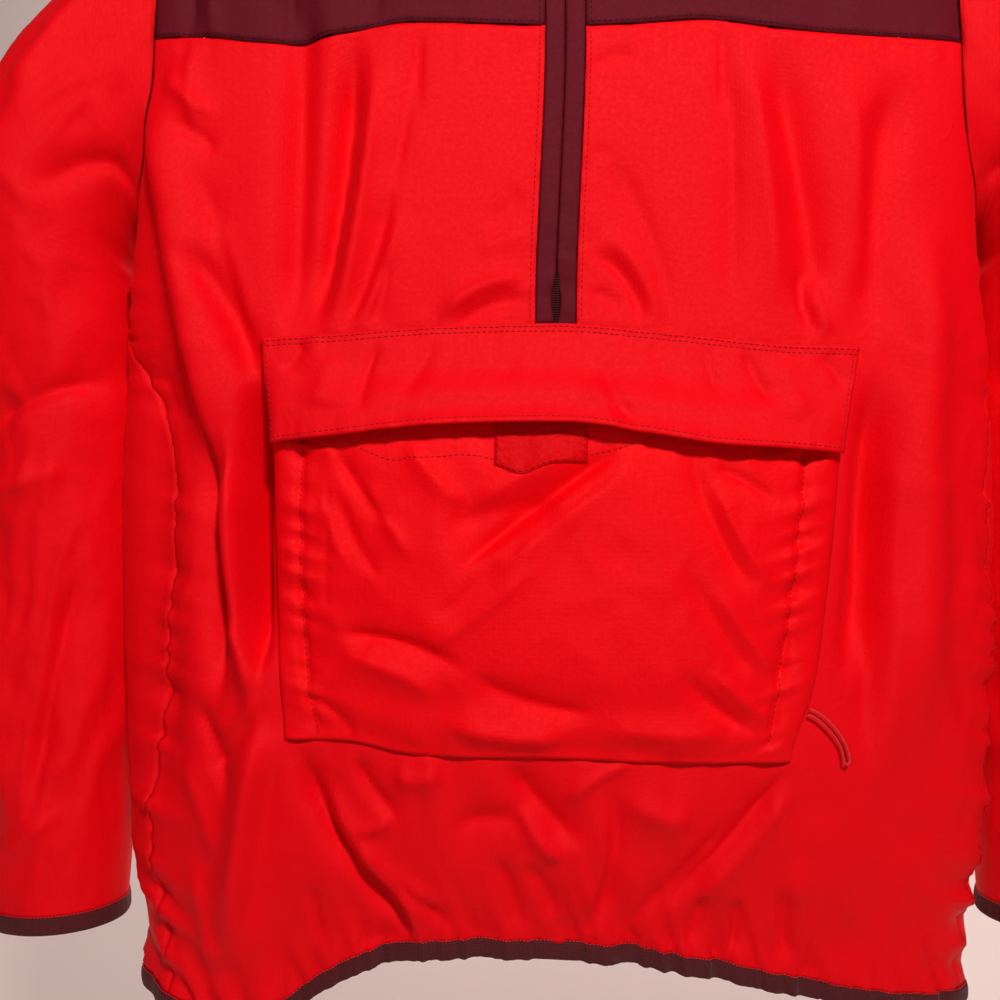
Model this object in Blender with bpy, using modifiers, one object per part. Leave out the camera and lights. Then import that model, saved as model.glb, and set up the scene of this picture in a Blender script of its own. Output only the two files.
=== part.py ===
"""Anorak pullover on a plain hanger.

Metres, +Z up, the chest faces -Y. Heights in this file are measured up from the hem at centre
front; everything is then lowered by HOOK_HEIGHT, so that the origin is where the hook bears.
The garment is one form, body_point(girth, height), cut into panels. Girth runs round the body
from 0 at centre front, + to the right as seen from the front, to half the girth at centre back.
"""
import math

import bmesh
import bpy
import numpy as np
from mathutils import Vector

# ---------------------------------------------------------------- driving sizes
HOOK_HEIGHT = 0.815        # hook's bearing point above the hem at centre front
CLOTH = 0.0012             # wall of the shell cloth
GAP = 0.0003               # between neighbouring pieces
NECK_HALF = 0.075          # side of the neck from the centre
NECK_TOP = 0.705           # shoulder seam at the neck
FRONT_NECK = 0.648         # neckline at centre front
BACK_NECK = 0.690          # neckline at centre back
SHOULDER_SLOPE = 0.333
SHOULDER_TIP = 0.229
SHOULDER_ROUND = 0.560     # the shoulders start to round over above this height
UNDERARM_LEVEL = 3.45
ARMHOLE_HALF = 0.046       # half the armhole's width, front to back
ARMHOLE_RISE = 0.075
SLIT_HALF = 0.0116         # half the width of the two zip welts
BINDING_DEPTH = 0.0095
BINDING_WALL = 0.0024
COLLAR_FRONT = 0.724       # top of the collar at the zip
COLLAR_BACK = 0.752
COLLAR_NARROW = 0.94       # top of the collar as a share of the neckline's width
POCKET_BULGE = 0.017
MOUTH_GAPE = 0.006         # how far the pouch's mouth stands off the front
FLAP_LIFT = 0.007

# Section of the body at each height: half width, depths, and how square the section is.
SECTIONS = {
    "height":     (-0.05, 0.01, 0.06, 0.117, 0.25, 0.353, 0.42, 0.521, 0.600, 0.720),
    "half_width": (0.230, 0.234, 0.243, 0.249, 0.252, 0.249, 0.247, 0.242, 0.238, 0.230),
    "front":      (0.052, 0.056, 0.068, 0.074, 0.067, 0.060, 0.057, 0.055, 0.054, 0.052),
    "back":       (0.046, 0.048, 0.053, 0.056, 0.054, 0.051, 0.049, 0.047, 0.046, 0.045),
    "square":     (2.6, 2.6, 2.6, 2.6, 2.8, 3.2, 4.0, 5.0, 5.0, 5.0),
}

# Heights of the seam lines round the body, as they hang: one column for each line.
LEVELS = {
    "girth":       (-0.55, -0.40, -0.26, -0.20, -0.16, -0.12, -0.08, 0.0,
                    0.04, 0.08, 0.12, 0.16, 0.20, 0.26, 0.40, 0.55),
    "hem":         (-0.012, -0.018, -0.028, -0.024, -0.017, -0.001, 0.009, 0.010,
                    0.007, -0.001, -0.010, -0.019, -0.026, -0.030, -0.018, -0.012),
    "pocket_foot": (0.110, 0.110, 0.112, 0.118, 0.126, 0.126, 0.119, 0.117,
                    0.115, 0.114, 0.114, 0.113, 0.110, 0.106, 0.108, 0.110),
    "flap_edge":   (0.280, 0.280, 0.278, 0.283, 0.287, 0.290, 0.294, 0.296,
                    0.291, 0.285, 0.283, 0.281, 0.280, 0.276, 0.278, 0.280),
    "flap_seam":   (0.340, 0.340, 0.338, 0.342, 0.346, 0.348, 0.351, 0.353,
                    0.350, 0.346, 0.342, 0.341, 0.339, 0.335, 0.338, 0.340),
    "yoke_seam":   (0.500, 0.506, 0.519, 0.5155, 0.511, 0.516, 0.522, 0.520,
                    0.521, 0.5235, 0.519, 0.516, 0.515, 0.517, 0.506, 0.500),
}
LINES = ("hem", "pocket_foot", "flap_edge", "flap_seam", "yoke_seam")
TOP_LEVEL = 5.0

# Where the front's columns of points run: columns are the pocket's edges and the side seam.
FRONT_LINES = {
    "height":     (-0.05, 0.117, 0.151, 0.204, 0.245, 0.285, 0.353, 0.52, 0.72),
    "left_edge":  (0.150, 0.150, 0.152, 0.155, 0.157, 0.159, 0.166, 0.163, 0.160),
    "right_edge": (0.122, 0.125, 0.137, 0.146, 0.151, 0.155, 0.167, 0.163, 0.160),
    "left_shift": (0.026, 0.046, 0.052, 0.056, 0.058, 0.058, 0.052, 0.0, 0.0),
    "right_shift": (0.020, 0.022, 0.024, 0.028, 0.030, 0.030, 0.028, 0.0, 0.0),
    "zip_lean":   (-0.0022, -0.0022, -0.0022, -0.0022, -0.0022, -0.0022, -0.0022, 0.0035, 0.0035),
}
NECK_COLUMN, EDGE_COLUMN, SIDE_COLUMN = 4, 7, 11

BODY_LEVELS = (0, 0.25, 0.5, 0.75, 1, 1.22, 1.44, 1.66, 1.84, 2, 2.25, 2.6, 3,
               3.225, UNDERARM_LEVEL, 3.63, 3.82, 4)
YOKE_LEVELS = (4, 4.25, 4.5, 4.75, 4.92, TOP_LEVEL)
POCKET_LEVELS = (1, 1.22, 1.44, 1.66, 1.84, 2, 2.25)
FLAP_LEVELS = (2, 2.25, 2.6, 3)

# Largest folds. A fold runs from start to end, bowed sideways by bow; rise is + for a ridge and
# - for a trough; left and right are its half widths on the two sides of the way it runs, seen
# with the start below. Places are (girth, height).
FRONT_FOLDS = (
    # name,            start,            end,              bow,    rise,   left,  right
    ("strip_upper",    (-0.184, 0.262), (-0.232, 0.500),  -0.004,  0.013, 0.009, 0.020),
    ("strip_lower",    (-0.162, 0.130), (-0.186, 0.285),  -0.004,  0.014, 0.009, 0.014),
    ("strip_foot",     (-0.188, 0.000), (-0.164, 0.150),   0.002,  0.007, 0.012, 0.018),
    ("strip_groove",   (-0.163, 0.145), (-0.165, 0.335),  -0.003, -0.015, 0.008, 0.006),
    ("groove_top",     (-0.167, 0.318), (-0.210, 0.402),   0.003, -0.009, 0.006, 0.007),
    ("side_recess",    (-0.226, 0.060), (-0.230, 0.375),  -0.002, -0.011, 0.030, 0.018),
    ("chest_left",     (-0.150, 0.335), (-0.143, 0.560),   0.002, -0.008, 0.011, 0.009),
    ("chest_left_in",  (-0.139, 0.340), (-0.110, 0.525),   0.004, -0.007, 0.012, 0.006),
    ("chest_right",    (0.143, 0.350),  (0.118, 0.520),    0.004, -0.006, 0.012, 0.012),
    ("right_groove",   (0.158, 0.150),  (0.176, 0.330),    0.004, -0.013, 0.008, 0.010),
    ("right_ridge",    (0.196, 0.100),  (0.205, 0.430),    0.004,  0.010, 0.014, 0.014),
    ("right_upper",    (0.172, 0.340),  (0.190, 0.500),   -0.004, -0.007, 0.010, 0.012),
)
BACK_FOLDS = (
    ("back_left",      (-0.170, 0.050), (-0.120, 0.470),   0.012, -0.012, 0.022, 0.016),
    ("back_left_in",   (-0.075, 0.060), (-0.058, 0.430),  -0.006,  0.008, 0.022, 0.018),
    ("back_middle",    (0.020, 0.050),  (0.010, 0.400),    0.006, -0.010, 0.020, 0.016),
    ("back_right_in",  (0.095, 0.050),  (0.060, 0.440),    0.008,  0.009, 0.018, 0.022),
    ("back_right",     (0.175, 0.040),  (0.125, 0.470),   -0.012, -0.012, 0.016, 0.022),
)

# Each ring of the sleeve: the turn of its plane, its underarm point, its width, half its depth,
# how far it has left the armhole's shape for an oval, and how far it swings to the back.
SLEEVE_RINGS = {
    "turn":  (0, 14, 28, 44, 62, 80, 90, 90, 90, 90, 90, 90),
    "x":     (0.252, 0.259, 0.262, 0.263, 0.263, 0.262, 0.261, 0.260, 0.261, 0.263, 0.267, 0.271),
    "z":     (0.42, 0.415, 0.411, 0.406, 0.399, 0.390, 0.378, 0.320, 0.245, 0.165, 0.090, 0.012),
    "width": (0.234, 0.168, 0.140, 0.122, 0.111, 0.105, 0.103, 0.101, 0.099, 0.095, 0.089, 0.082),
    "depth": (0.046, 0.052, 0.056, 0.059, 0.061, 0.061, 0.060, 0.057, 0.053, 0.048, 0.043, 0.038),
    "blend": (0.0, 0.35, 0.65, 0.85, 1, 1, 1, 1, 1, 1, 1, 1),
    "sway":  (0, 0, 0.001, 0.002, 0.004, 0.006, 0.008, 0.011, 0.012, 0.010, 0.007, 0.004),
}

COLOURS = {  # name: (base colour, roughness, metallic)
    "red_shell": ((0.78, 0.012, 0.018), 0.48, 0.0),
    "maroon_shell": ((0.125, 0.016, 0.026), 0.5, 0.0),
    "maroon_elastic": ((0.085, 0.006, 0.010), 0.75, 0.0),
    "hook_loop": ((0.60, 0.008, 0.012), 0.95, 0.0),
    "zip_coil": ((0.05, 0.008, 0.012), 0.55, 0.0),
    "dark_metal": ((0.16, 0.16, 0.17), 0.35, 1.0),
    "red_cord": ((0.70, 0.012, 0.018), 0.7, 0.0),
    "pale_wood": ((0.55, 0.36, 0.20), 0.45, 0.0),
    "steel": ((0.62, 0.62, 0.63), 0.25, 1.0),
}


# ---------------------------------------------------------------- helpers
def clear_scene():
    for item in list(bpy.data.objects):
        bpy.data.objects.remove(item, do_unlink=True)


def material(name):
    found = bpy.data.materials.get(name)
    if found:
        return found
    colour, roughness, metallic = COLOURS[name]
    made = bpy.data.materials.new(name)
    made.use_nodes = True
    shader = made.node_tree.nodes["Principled BSDF"]
    shader.inputs["Base Color"].default_value = (*colour, 1)
    shader.inputs["Roughness"].default_value = roughness
    shader.inputs["Metallic"].default_value = metallic
    return made


def smooth_step(t):
    t = np.clip(t, 0, 1)
    return t * t * (3 - 2 * t)


def smooth_table(table, column, at, key):
    """The column of a table at these places, on a smooth curve through its rows."""
    x, y = np.array(table[key], float), np.array(table[column], float)
    chord = np.diff(y) / np.diff(x)
    slope = np.concatenate([[chord[0]], (chord[1:] + chord[:-1]) / 2, [chord[-1]]])
    turns = np.concatenate([[False], chord[1:] * chord[:-1] <= 0, [False]])
    slope[turns] = 0
    at = np.clip(at, x[0], x[-1])
    k = np.clip(np.searchsorted(x, at) - 1, 0, len(x) - 2)
    step = x[k + 1] - x[k]
    t = (at - x[k]) / step
    h = smooth_step(t)
    bend = t * (1 - t) * step
    return y[k] * (1 - h) + y[k + 1] * h + bend * (slope[k] * (1 - t) - slope[k + 1] * t)


# ---------------------------------------------------------------- the body's form
RING_HEIGHTS = np.linspace(-0.05, 0.72, 90)
RING_POINTS = 361


def ring_tables():
    """Each height's section by girth: (girth, x, y) from centre front to centre back."""
    angle = np.linspace(0, math.pi, RING_POINTS)
    rings = []
    for height in RING_HEIGHTS:
        wide, front, back, square = (
            float(smooth_table(SECTIONS, name, height, "height"))
            for name in ("half_width", "front", "back", "square"))
        s, c = np.sin(angle), np.cos(angle)
        x = wide * np.abs(s) ** (2 / square)
        y = -np.where(c > 0, front, back) * np.sign(c) * np.abs(c) ** (2 / square)
        girth = np.concatenate([[0], np.cumsum(np.hypot(np.diff(x), np.diff(y)))])
        rings.append((girth, x, y))
    return rings


RINGS = ring_tables()
SIDE_GIRTH = np.array([np.interp(0.5, np.linspace(0, 1, RING_POINTS), ring[0]) for ring in RINGS])
HALF_GIRTH = np.array([ring[0][-1] for ring in RINGS])


def half_girth(height):
    return np.interp(height, RING_HEIGHTS, HALF_GIRTH)


def shoulder_height(x):
    return NECK_TOP - SHOULDER_SLOPE * (np.maximum(np.abs(x), NECK_HALF) - NECK_HALF)


def smooth_point(girth, height):
    """The body's form without its folds: (x, y)."""
    girth, height = np.broadcast_arrays(np.asarray(girth, float), np.asarray(height, float))
    side = np.where(girth < 0, -1.0, 1.0)
    step = RING_HEIGHTS[1] - RING_HEIGHTS[0]
    place = np.clip((height - RING_HEIGHTS[0]) / step, 0, len(RING_HEIGHTS) - 1.001)
    low = place.astype(int)
    share = place - low
    x, y = np.zeros(girth.shape), np.zeros(girth.shape)
    for k in np.unique(low):
        here = low == k
        g, t = np.abs(girth[here]), share[here]
        for ring, weight in ((RINGS[k], 1 - t), (RINGS[k + 1], t)):
            x[here] += weight * np.interp(g, ring[0], ring[1])
            y[here] += weight * np.interp(g, ring[0], ring[2])
    over = np.clip((height - SHOULDER_ROUND) / (shoulder_height(x) - SHOULDER_ROUND), 0, 1)
    return side * x, y * np.sqrt(np.maximum(1 - over ** 3, 0))


def fold_rise(folds, u, v):
    """How far the folds lift the cloth at these (girth, height) places."""
    total = np.zeros(np.broadcast(u, v).shape)
    for _, start, end, bow, rise, left, right in folds:
        along = np.array(end) - np.array(start)
        length = np.hypot(*along)
        along /= length
        t = ((u - start[0]) * along[0] + (v - start[1]) * along[1]) / length
        inside = np.clip(t, 0, 1)
        across = (u - start[0]) * along[1] - (v - start[1]) * along[0]
        across = across - bow * 4 * inside * (1 - inside)
        beyond = (t - inside) * length
        width = np.where(across < 0, left, right)
        taper = smooth_step(inside / 0.25) * smooth_step((1 - inside) / 0.25)
        total += rise * taper * np.exp(-(across / width) ** 2 - (beyond / 0.02) ** 2)
    return total


def around_back(girth, height):
    """Distance from centre back, + to the right as seen from the front."""
    return np.where(girth < 0, -1.0, 1.0) * (half_girth(height) - np.abs(girth))


def body_normal(girth, height, reach=0.005):
    """Outward direction of the unfolded form."""
    ends = []
    for dg, dh in ((-reach, 0), (reach, 0), (0, -reach), (0, reach)):
        x, y = smooth_point(girth + dg, height + dh)
        ends.append(np.stack([x, y, height + dh], -1))
    normal = np.cross(ends[1] - ends[0], ends[3] - ends[2])
    normal /= np.maximum(np.linalg.norm(normal, axis=-1, keepdims=True), 1e-9)
    x, _ = smooth_point(girth, height)
    over = (height - SHOULDER_ROUND) / (shoulder_height(x) - SHOULDER_ROUND)
    top = smooth_step((over - 0.88) / 0.12)[..., None]
    slope = np.where(np.abs(x) > NECK_HALF, np.sign(x) * SHOULDER_SLOPE, 0.0)
    crest = np.stack([slope, np.zeros_like(x), np.ones_like(x)], -1)
    normal = normal * (1 - top) + top * crest / np.linalg.norm(crest, axis=-1, keepdims=True)
    return normal / np.linalg.norm(normal, axis=-1, keepdims=True)


def body_point(girth, height):
    """(point, outward direction) on the hung cloth."""
    girth, height = np.broadcast_arrays(np.asarray(girth, float), np.asarray(height, float))
    x, y = smooth_point(girth, height)
    normal = body_normal(girth, height)
    rise = fold_rise(FRONT_FOLDS, girth, height)
    rise += fold_rise(BACK_FOLDS, around_back(girth, height), height)
    rise *= 1 - smooth_step((height - 0.56) / 0.06)
    return np.stack([x, y, height], -1) + normal * rise[..., None], normal


# ---------------------------------------------------------------- where the panels are cut
def line_height(level, girth):
    """Height of a level, 0 at the hem to 4 at the yoke seam, at this girth."""
    heights = np.stack([smooth_table(LEVELS, name, girth, "girth") for name in LINES])
    k = np.clip(np.floor(level).astype(int), 0, len(LINES) - 2)
    low = np.take_along_axis(heights, k[None], 0)[0]
    high = np.take_along_axis(heights, k[None] + 1, 0)[0]
    return low + (level - k) * (high - low)


def side_seam(side, height, back):
    """Girth of the side seam, and above the underarm of the armhole's edge on this half."""
    shift = smooth_table(FRONT_LINES, "left_shift" if side < 0 else "right_shift", height, "height")
    middle = np.interp(height, RING_HEIGHTS, SIDE_GIRTH)
    base = line_height(np.full(np.shape(height), UNDERARM_LEVEL), middle)
    shift = shift * smooth_step((base - height) / 0.15)
    up = np.clip((height - base) / ARMHOLE_RISE, 0, 1)
    half = ARMHOLE_HALF * np.sqrt(1 - (1 - up) ** 2)
    return middle - shift + (half if back else -half)


def column_girth(side, column, height, back):
    """Girth of a column of points: 0 is the zip or centre back, SIDE_COLUMN the side seam."""
    if back:
        whole = half_girth(height)
        stops = (whole, whole - 0.079, whole - 0.162, side_seam(side, height, True))
    else:
        edge = "left_edge" if side < 0 else "right_edge"
        neck = 0.081 - 0.006 * smooth_step((height - 0.50) / 0.15)
        stops = (SLIT_HALF + side * smooth_table(FRONT_LINES, "zip_lean", height, "height"),
                 neck, smooth_table(FRONT_LINES, edge, height, "height"),
                 side_seam(side, height, False))
    at = (0, NECK_COLUMN, EDGE_COLUMN, SIDE_COLUMN)
    k = int(np.clip(np.searchsorted(at, column, side="right") - 1, 0, 2))
    share = (column - at[k]) / (at[k + 1] - at[k])
    return side * (stops[k] * (1 - share) + stops[k + 1] * share)


def top_height(side, column, back):
    """Height of the panel's top edge: neckline, then shoulder seam."""
    low = BACK_NECK if back else FRONT_NECK
    if column < NECK_COLUMN:
        share = column / NECK_COLUMN
        return low + (NECK_TOP - low) * (1 - (1 - share ** 1.6) ** 0.8)
    out = (column - NECK_COLUMN) / (SIDE_COLUMN - NECK_COLUMN)
    return NECK_TOP - SHOULDER_SLOPE * out * (SHOULDER_TIP - NECK_HALF)


def place_of(side, column, level, back):
    """(girth, height) of the grid point where a column meets a level."""
    height = 0.3
    for _ in range(8):
        girth = float(column_girth(side, column, np.array(height), back))
        height = float(line_height(np.array(min(level, 4.0)), np.array(girth)))
        if level > 4:
            share = (level - 4) / (TOP_LEVEL - 4)
            height += share * (top_height(side, column, back) - height)
    return girth, height


def grid(columns, levels, back=False):
    """Points and outward directions, rows by level and columns by (side, column)."""
    place = np.array([[place_of(side, column, level, back) for side, column in columns]
                      for level in levels])
    points, normals = body_point(place[..., 0], place[..., 1])
    tops = [i for i, level in enumerate(levels) if level == TOP_LEVEL]
    for i in tops:
        for j, (side, column) in enumerate(columns):
            if column >= NECK_COLUMN:
                out = (column - NECK_COLUMN) / (SIDE_COLUMN - NECK_COLUMN)
                points[i, j, 0] = side * (NECK_HALF + out * (SHOULDER_TIP - NECK_HALF))
                points[i, j, 1] = 0.0
                normals[i, j] = Vector((side * SHOULDER_SLOPE, 0, 1)).normalized()
    return points, normals


def columns_between(first, last):
    """(side, column) pairs from left to right; the zip's two edges are two columns."""
    pairs = [(-1, k) for k in range(SIDE_COLUMN, -1, -1)] + [(1, k) for k in range(SIDE_COLUMN + 1)]
    return pairs[pairs.index(first):pairs.index(last) + 1]


def back_columns():
    """From the right side seam round the back to the left one; centre back is one column."""
    return [(1, k) for k in range(SIDE_COLUMN, 0, -1)] + [(-1, k) for k in range(SIDE_COLUMN + 1)]


# ---------------------------------------------------------------- walls
def drawn_in(points, rows=(True, True), sides=(True, True), by=GAP / 2):
    """The grid with its outer rows and columns moved inwards, which leaves the seam gap."""
    moved = points.copy()
    for edge, inner, wanted, axis in ((0, 1, rows[0], 0), (-1, -2, rows[1], 0),
                                      (0, 1, sides[0], 1), (-1, -2, sides[1], 1)):
        if not wanted:
            continue
        here = points[edge] if axis == 0 else points[:, edge]
        there = points[inner] if axis == 0 else points[:, inner]
        way = there - here
        way /= np.maximum(np.linalg.norm(way, axis=-1, keepdims=True), 1e-9)
        if axis == 0:
            moved[edge] += way * by
        else:
            moved[:, edge] += way * by
    return moved


def add_object(name, vertices, faces, finish):
    mesh = bpy.data.meshes.new(name)
    low = [(x, y, z - HOOK_HEIGHT) for x, y, z in vertices]
    mesh.from_pydata(low, [], faces)
    shape = bmesh.new()
    shape.from_mesh(mesh)
    bmesh.ops.remove_doubles(shape, verts=shape.verts, dist=1e-6)
    bmesh.ops.recalc_face_normals(shape, faces=shape.faces)
    shape.to_mesh(mesh)
    shape.free()
    mesh.materials.append(material(finish))
    mesh.shade_smooth()
    mesh.set_sharp_from_angle(angle=math.radians(50))
    made = bpy.data.objects.new(name, mesh)
    PARTS.objects.link(made)
    return made


def wall(name, points, normals, finish, outer=0.0, inner=-CLOTH, holes=(), ring=False):
    """A closed wall between the grid moved out by outer and by inner; holes are missing cells."""
    rows, cols = points.shape[:2]
    outer, inner = (np.broadcast_to(d, (rows, cols))[..., None] for d in (outer, inner))
    vertices = np.concatenate([(points + normals * outer).reshape(-1, 3),
                               (points + normals * inner).reshape(-1, 3)])
    layer = rows * cols
    faces, edges = [], {}
    for i in range(rows - 1):
        for j in range(cols if ring else cols - 1):
            if (i, j) in holes:
                continue
            k = (j + 1) % cols
            a, b, c, d = i * cols + j, i * cols + k, (i + 1) * cols + k, (i + 1) * cols + j
            faces += [(a, b, c), (a, c, d)]
            faces += [(a + layer, c + layer, b + layer), (a + layer, d + layer, c + layer)]
            for start, end in ((a, b), (b, c), (c, d), (d, a)):
                if (end, start) in edges:
                    del edges[end, start]
                else:
                    edges[start, end] = True
    for start, end in edges:
        faces += [(start, end + layer, end), (start, start + layer, end + layer)]
    return add_object(name, vertices.tolist(), faces, finish)


# ---------------------------------------------------------------- cloth pieces
def make_front():
    columns = columns_between((-1, SIDE_COLUMN), (1, SIDE_COLUMN))
    points, normals = grid(columns, BODY_LEVELS)
    slit = {(i, SIDE_COLUMN) for i, level in enumerate(BODY_LEVELS[:-1]) if level >= 3}
    points = drawn_in(drawn_in(points), rows=(False, False), by=GAP)
    wall("front", points, normals, "red_shell", holes=slit)


def make_back():
    points, normals = grid(back_columns(), BODY_LEVELS, back=True)
    wall("back", drawn_in(points), normals, "red_shell")


def make_yokes():
    for name, first, last in (("front_yoke_left", (-1, SIDE_COLUMN), (-1, 0)),
                              ("front_yoke_right", (1, 0), (1, SIDE_COLUMN))):
        points, normals = grid(columns_between(first, last), YOKE_LEVELS)
        wall(name, drawn_in(points, sides=(first[0] < 0, first[0] > 0)), normals, "maroon_shell")
    points, normals = grid(back_columns(), YOKE_LEVELS, back=True)
    wall("back_yoke", drawn_in(points), normals, "maroon_shell")


def armhole(side):
    """The armhole's edge from the underarm up the front to the shoulder, then down the back."""
    levels = [v for v in BODY_LEVELS if v >= UNDERARM_LEVEL] + list(YOKE_LEVELS[1:])
    front = grid([(side, SIDE_COLUMN)], levels)[0][:, 0]
    back = grid([(side, SIDE_COLUMN)], levels, back=True)[0][:, 0]
    return np.concatenate([front, back[-2:0:-1]])


def sleeve_rings(side):
    """Ring by ring from the armhole to the cuff; the first point of each is at the underarm."""
    edge = armhole(side)
    count = len(edge)
    angle = np.arange(count) / count * 2 * math.pi
    across, deep = (1 - np.cos(angle)) / 2, -np.sin(angle)
    rings = []
    for turn, x, z, width, depth, blend, sway in zip(*SLEEVE_RINGS.values()):
        turn = math.radians(turn)
        oval = np.stack([side * (x + width * across * math.sin(turn)),
                         depth * deep + sway,
                         z + width * across * math.cos(turn)], -1)
        if not rings:
            first_oval = oval
        rings.append(oval + (1 - blend) * (edge - first_oval))
    rings[0][:, 0] += side * 3 * GAP
    return np.array(rings)


def ring_normals(points, side):
    round_it = np.roll(points, -1, 1) - np.roll(points, 1, 1)
    down = np.gradient(points, axis=0)
    normal = np.cross(round_it, down) * side
    return normal / np.maximum(np.linalg.norm(normal, axis=-1, keepdims=True), 1e-9)


def make_sleeves():
    for name, side in (("sleeve_left", -1), ("sleeve_right", 1)):
        points = sleeve_rings(side)
        normals = ring_normals(points, side)
        wall(name, drawn_in(points, sides=(False, False), by=GAP), normals, "red_shell", ring=True)
        cuff = points[-1]
        band = np.array([cuff - [0, 0, GAP], cuff - [0, 0, BINDING_DEPTH + GAP]])
        wall(name.replace("sleeve", "cuff_binding"), band, normals[-2:] * [1, 1, 0],
             "maroon_elastic", outer=0.0004, inner=0.0004 - BINDING_WALL, ring=True)


def make_hem_binding():
    front = grid(columns_between((-1, SIDE_COLUMN), (1, SIDE_COLUMN)), (0,))
    back = grid(back_columns(), (0,), back=True)
    edge = np.concatenate([front[0][0], back[0][0][1:-1]])
    normals = np.concatenate([front[1][0], back[1][0][1:-1]]) * [1, 1, 0]
    normals /= np.linalg.norm(normals, axis=-1, keepdims=True)
    points = np.array([edge - [0, 0, GAP], edge - [0, 0, BINDING_DEPTH + GAP]])
    wall("hem_binding", points, np.array([normals, normals]), "maroon_elastic",
         outer=0.0004, inner=0.0004 - BINDING_WALL, ring=True)


def neck_edge():
    """The neckline from the zip's left edge round the back to its right edge."""
    left = grid(columns_between((-1, NECK_COLUMN), (-1, 0)), (TOP_LEVEL,))[0][0][::-1]
    right = grid(columns_between((1, 0), (1, NECK_COLUMN)), (TOP_LEVEL,))[0][0][::-1]
    back = [(-1, k) for k in range(NECK_COLUMN - 1, 0, -1)]
    back += [(1, k) for k in range(NECK_COLUMN)]
    behind = grid(back, (TOP_LEVEL,), back=True)[0][0]
    return np.concatenate([left, behind, right])


def collar_points(edge):
    """Base, middle and top of the stand collar, from this edge up to an oval top edge."""
    front, back = edge[:, 1].min(), edge[:, 1].max()
    middle, deep = (front + back) / 2, (back - front) / 2
    angle = np.arctan2(edge[:, 0] / NECK_HALF, (middle - edge[:, 1]) / deep)
    behind = (1 - np.cos(angle)) / 2
    top = np.stack([COLLAR_NARROW * NECK_HALF * np.sin(angle),
                    middle - deep * np.cos(angle),
                    COLLAR_FRONT + (COLLAR_BACK - COLLAR_FRONT) * behind], -1)
    top[[0, -1]] = edge[[0, -1]]
    top[[0, -1], 2] = COLLAR_FRONT
    base = edge + [0, 0, GAP]
    return np.array([base, (base + top) / 2, top])


def flat_normals(points):
    """Level outward directions of a strip that stands round the neck."""
    along = np.gradient(points, axis=1)
    normal = np.stack([along[..., 1], -along[..., 0], np.zeros(along.shape[:2])], -1)
    normal /= np.linalg.norm(normal, axis=-1, keepdims=True)
    outward = np.sign((normal * points * [1, 1, 0]).sum())
    return normal * outward


def make_collar():
    points = collar_points(neck_edge())
    wall("collar", points, flat_normals(points), "maroon_shell", inner=-2 * CLOTH)


WELT_LEVELS = (3, 3.225, UNDERARM_LEVEL, 3.63, 3.82) + YOKE_LEVELS
WELT_TOP_SHARE = 0.72      # the welts stop this far up the collar, below the slider


def zip_strip(columns):
    """Grid up the zip from the flap seam over the yoke and the collar: columns are girth shares."""
    place = np.array([[place_of(side, 0, level, False) for side in (-1, 1)]
                      for level in WELT_LEVELS])
    left, right = place[:, :1], place[:, 1:]
    share = (np.array(columns) + 1)[None, :, None] / 2
    spot = left * (1 - share) + right * share
    points, normals = body_point(spot[..., 0], spot[..., 1])
    neck = points[-1].copy()
    rise = np.array([0.24, 0.48, WELT_TOP_SHARE, 1.0]) * (COLLAR_FRONT - neck[:, 2].mean())
    above = np.array([neck + [0, 0, step] for step in rise])
    ahead = np.broadcast_to(normals[-1] * [1, 1, 0], above.shape)
    points, normals = np.concatenate([points, above]), np.concatenate([normals, ahead])
    return points, normals / np.linalg.norm(normals, axis=-1, keepdims=True)


def make_zip():
    edge = 1 - GAP / SLIT_HALF
    middle = GAP / 2 / SLIT_HALF
    for name, columns in (("welt_left", (-edge, -middle)), ("welt_right", (middle, edge))):
        points, normals = zip_strip(columns)
        rows = len(points) - 1
        wall(name, drawn_in(points[:rows], rows=(True, False), sides=(False, False)),
             normals[:rows], "maroon_shell", outer=-0.0002, inner=-0.0002 - CLOTH)
    points, normals = zip_strip((-0.95, 0.95))
    wall("zip_tape", points, normals, "zip_coil", outer=-0.0028, inner=-0.0038)


def pouch_share(count_rows, count_cols):
    """0 on the seams of a panel sewn at its sides and foot, to 1 in its middle."""
    up = np.linspace(0, 1, count_rows)[:, None]
    over = np.linspace(-1, 1, count_cols)[None]
    return (1 - over ** 4) * np.sin(math.pi * np.clip(0.08 + up * 0.80, 0, 1)) * smooth_step(up / 0.2)


def make_pocket():
    columns = columns_between((-1, EDGE_COLUMN), (1, EDGE_COLUMN))
    points, normals = grid(columns, POCKET_LEVELS)
    out = GAP + CLOTH + POCKET_BULGE * pouch_share(len(POCKET_LEVELS), len(columns))
    out[-1] = np.minimum(out[-1], GAP + CLOTH + MOUTH_GAPE)
    wall("pocket", points, normals, "red_shell", outer=out, inner=out - CLOTH)
    points, normals = grid(columns, FLAP_LEVELS)
    down = np.array([1, 0.75, 0.35, 0])[:, None]
    over = np.linspace(-1, 1, len(columns))[None]
    under = np.array([out[-2], out[-1], GAP + 0 * out[-1], GAP + 0 * out[-1]])
    lift = under + GAP + CLOTH + FLAP_LIFT * down * (0.45 + 0.55 * (1 - over ** 4))
    lift[-1] = GAP + CLOTH
    wall("pocket_flap", points, normals, "red_shell", outer=lift, inner=lift - CLOTH)
    return out


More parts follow.
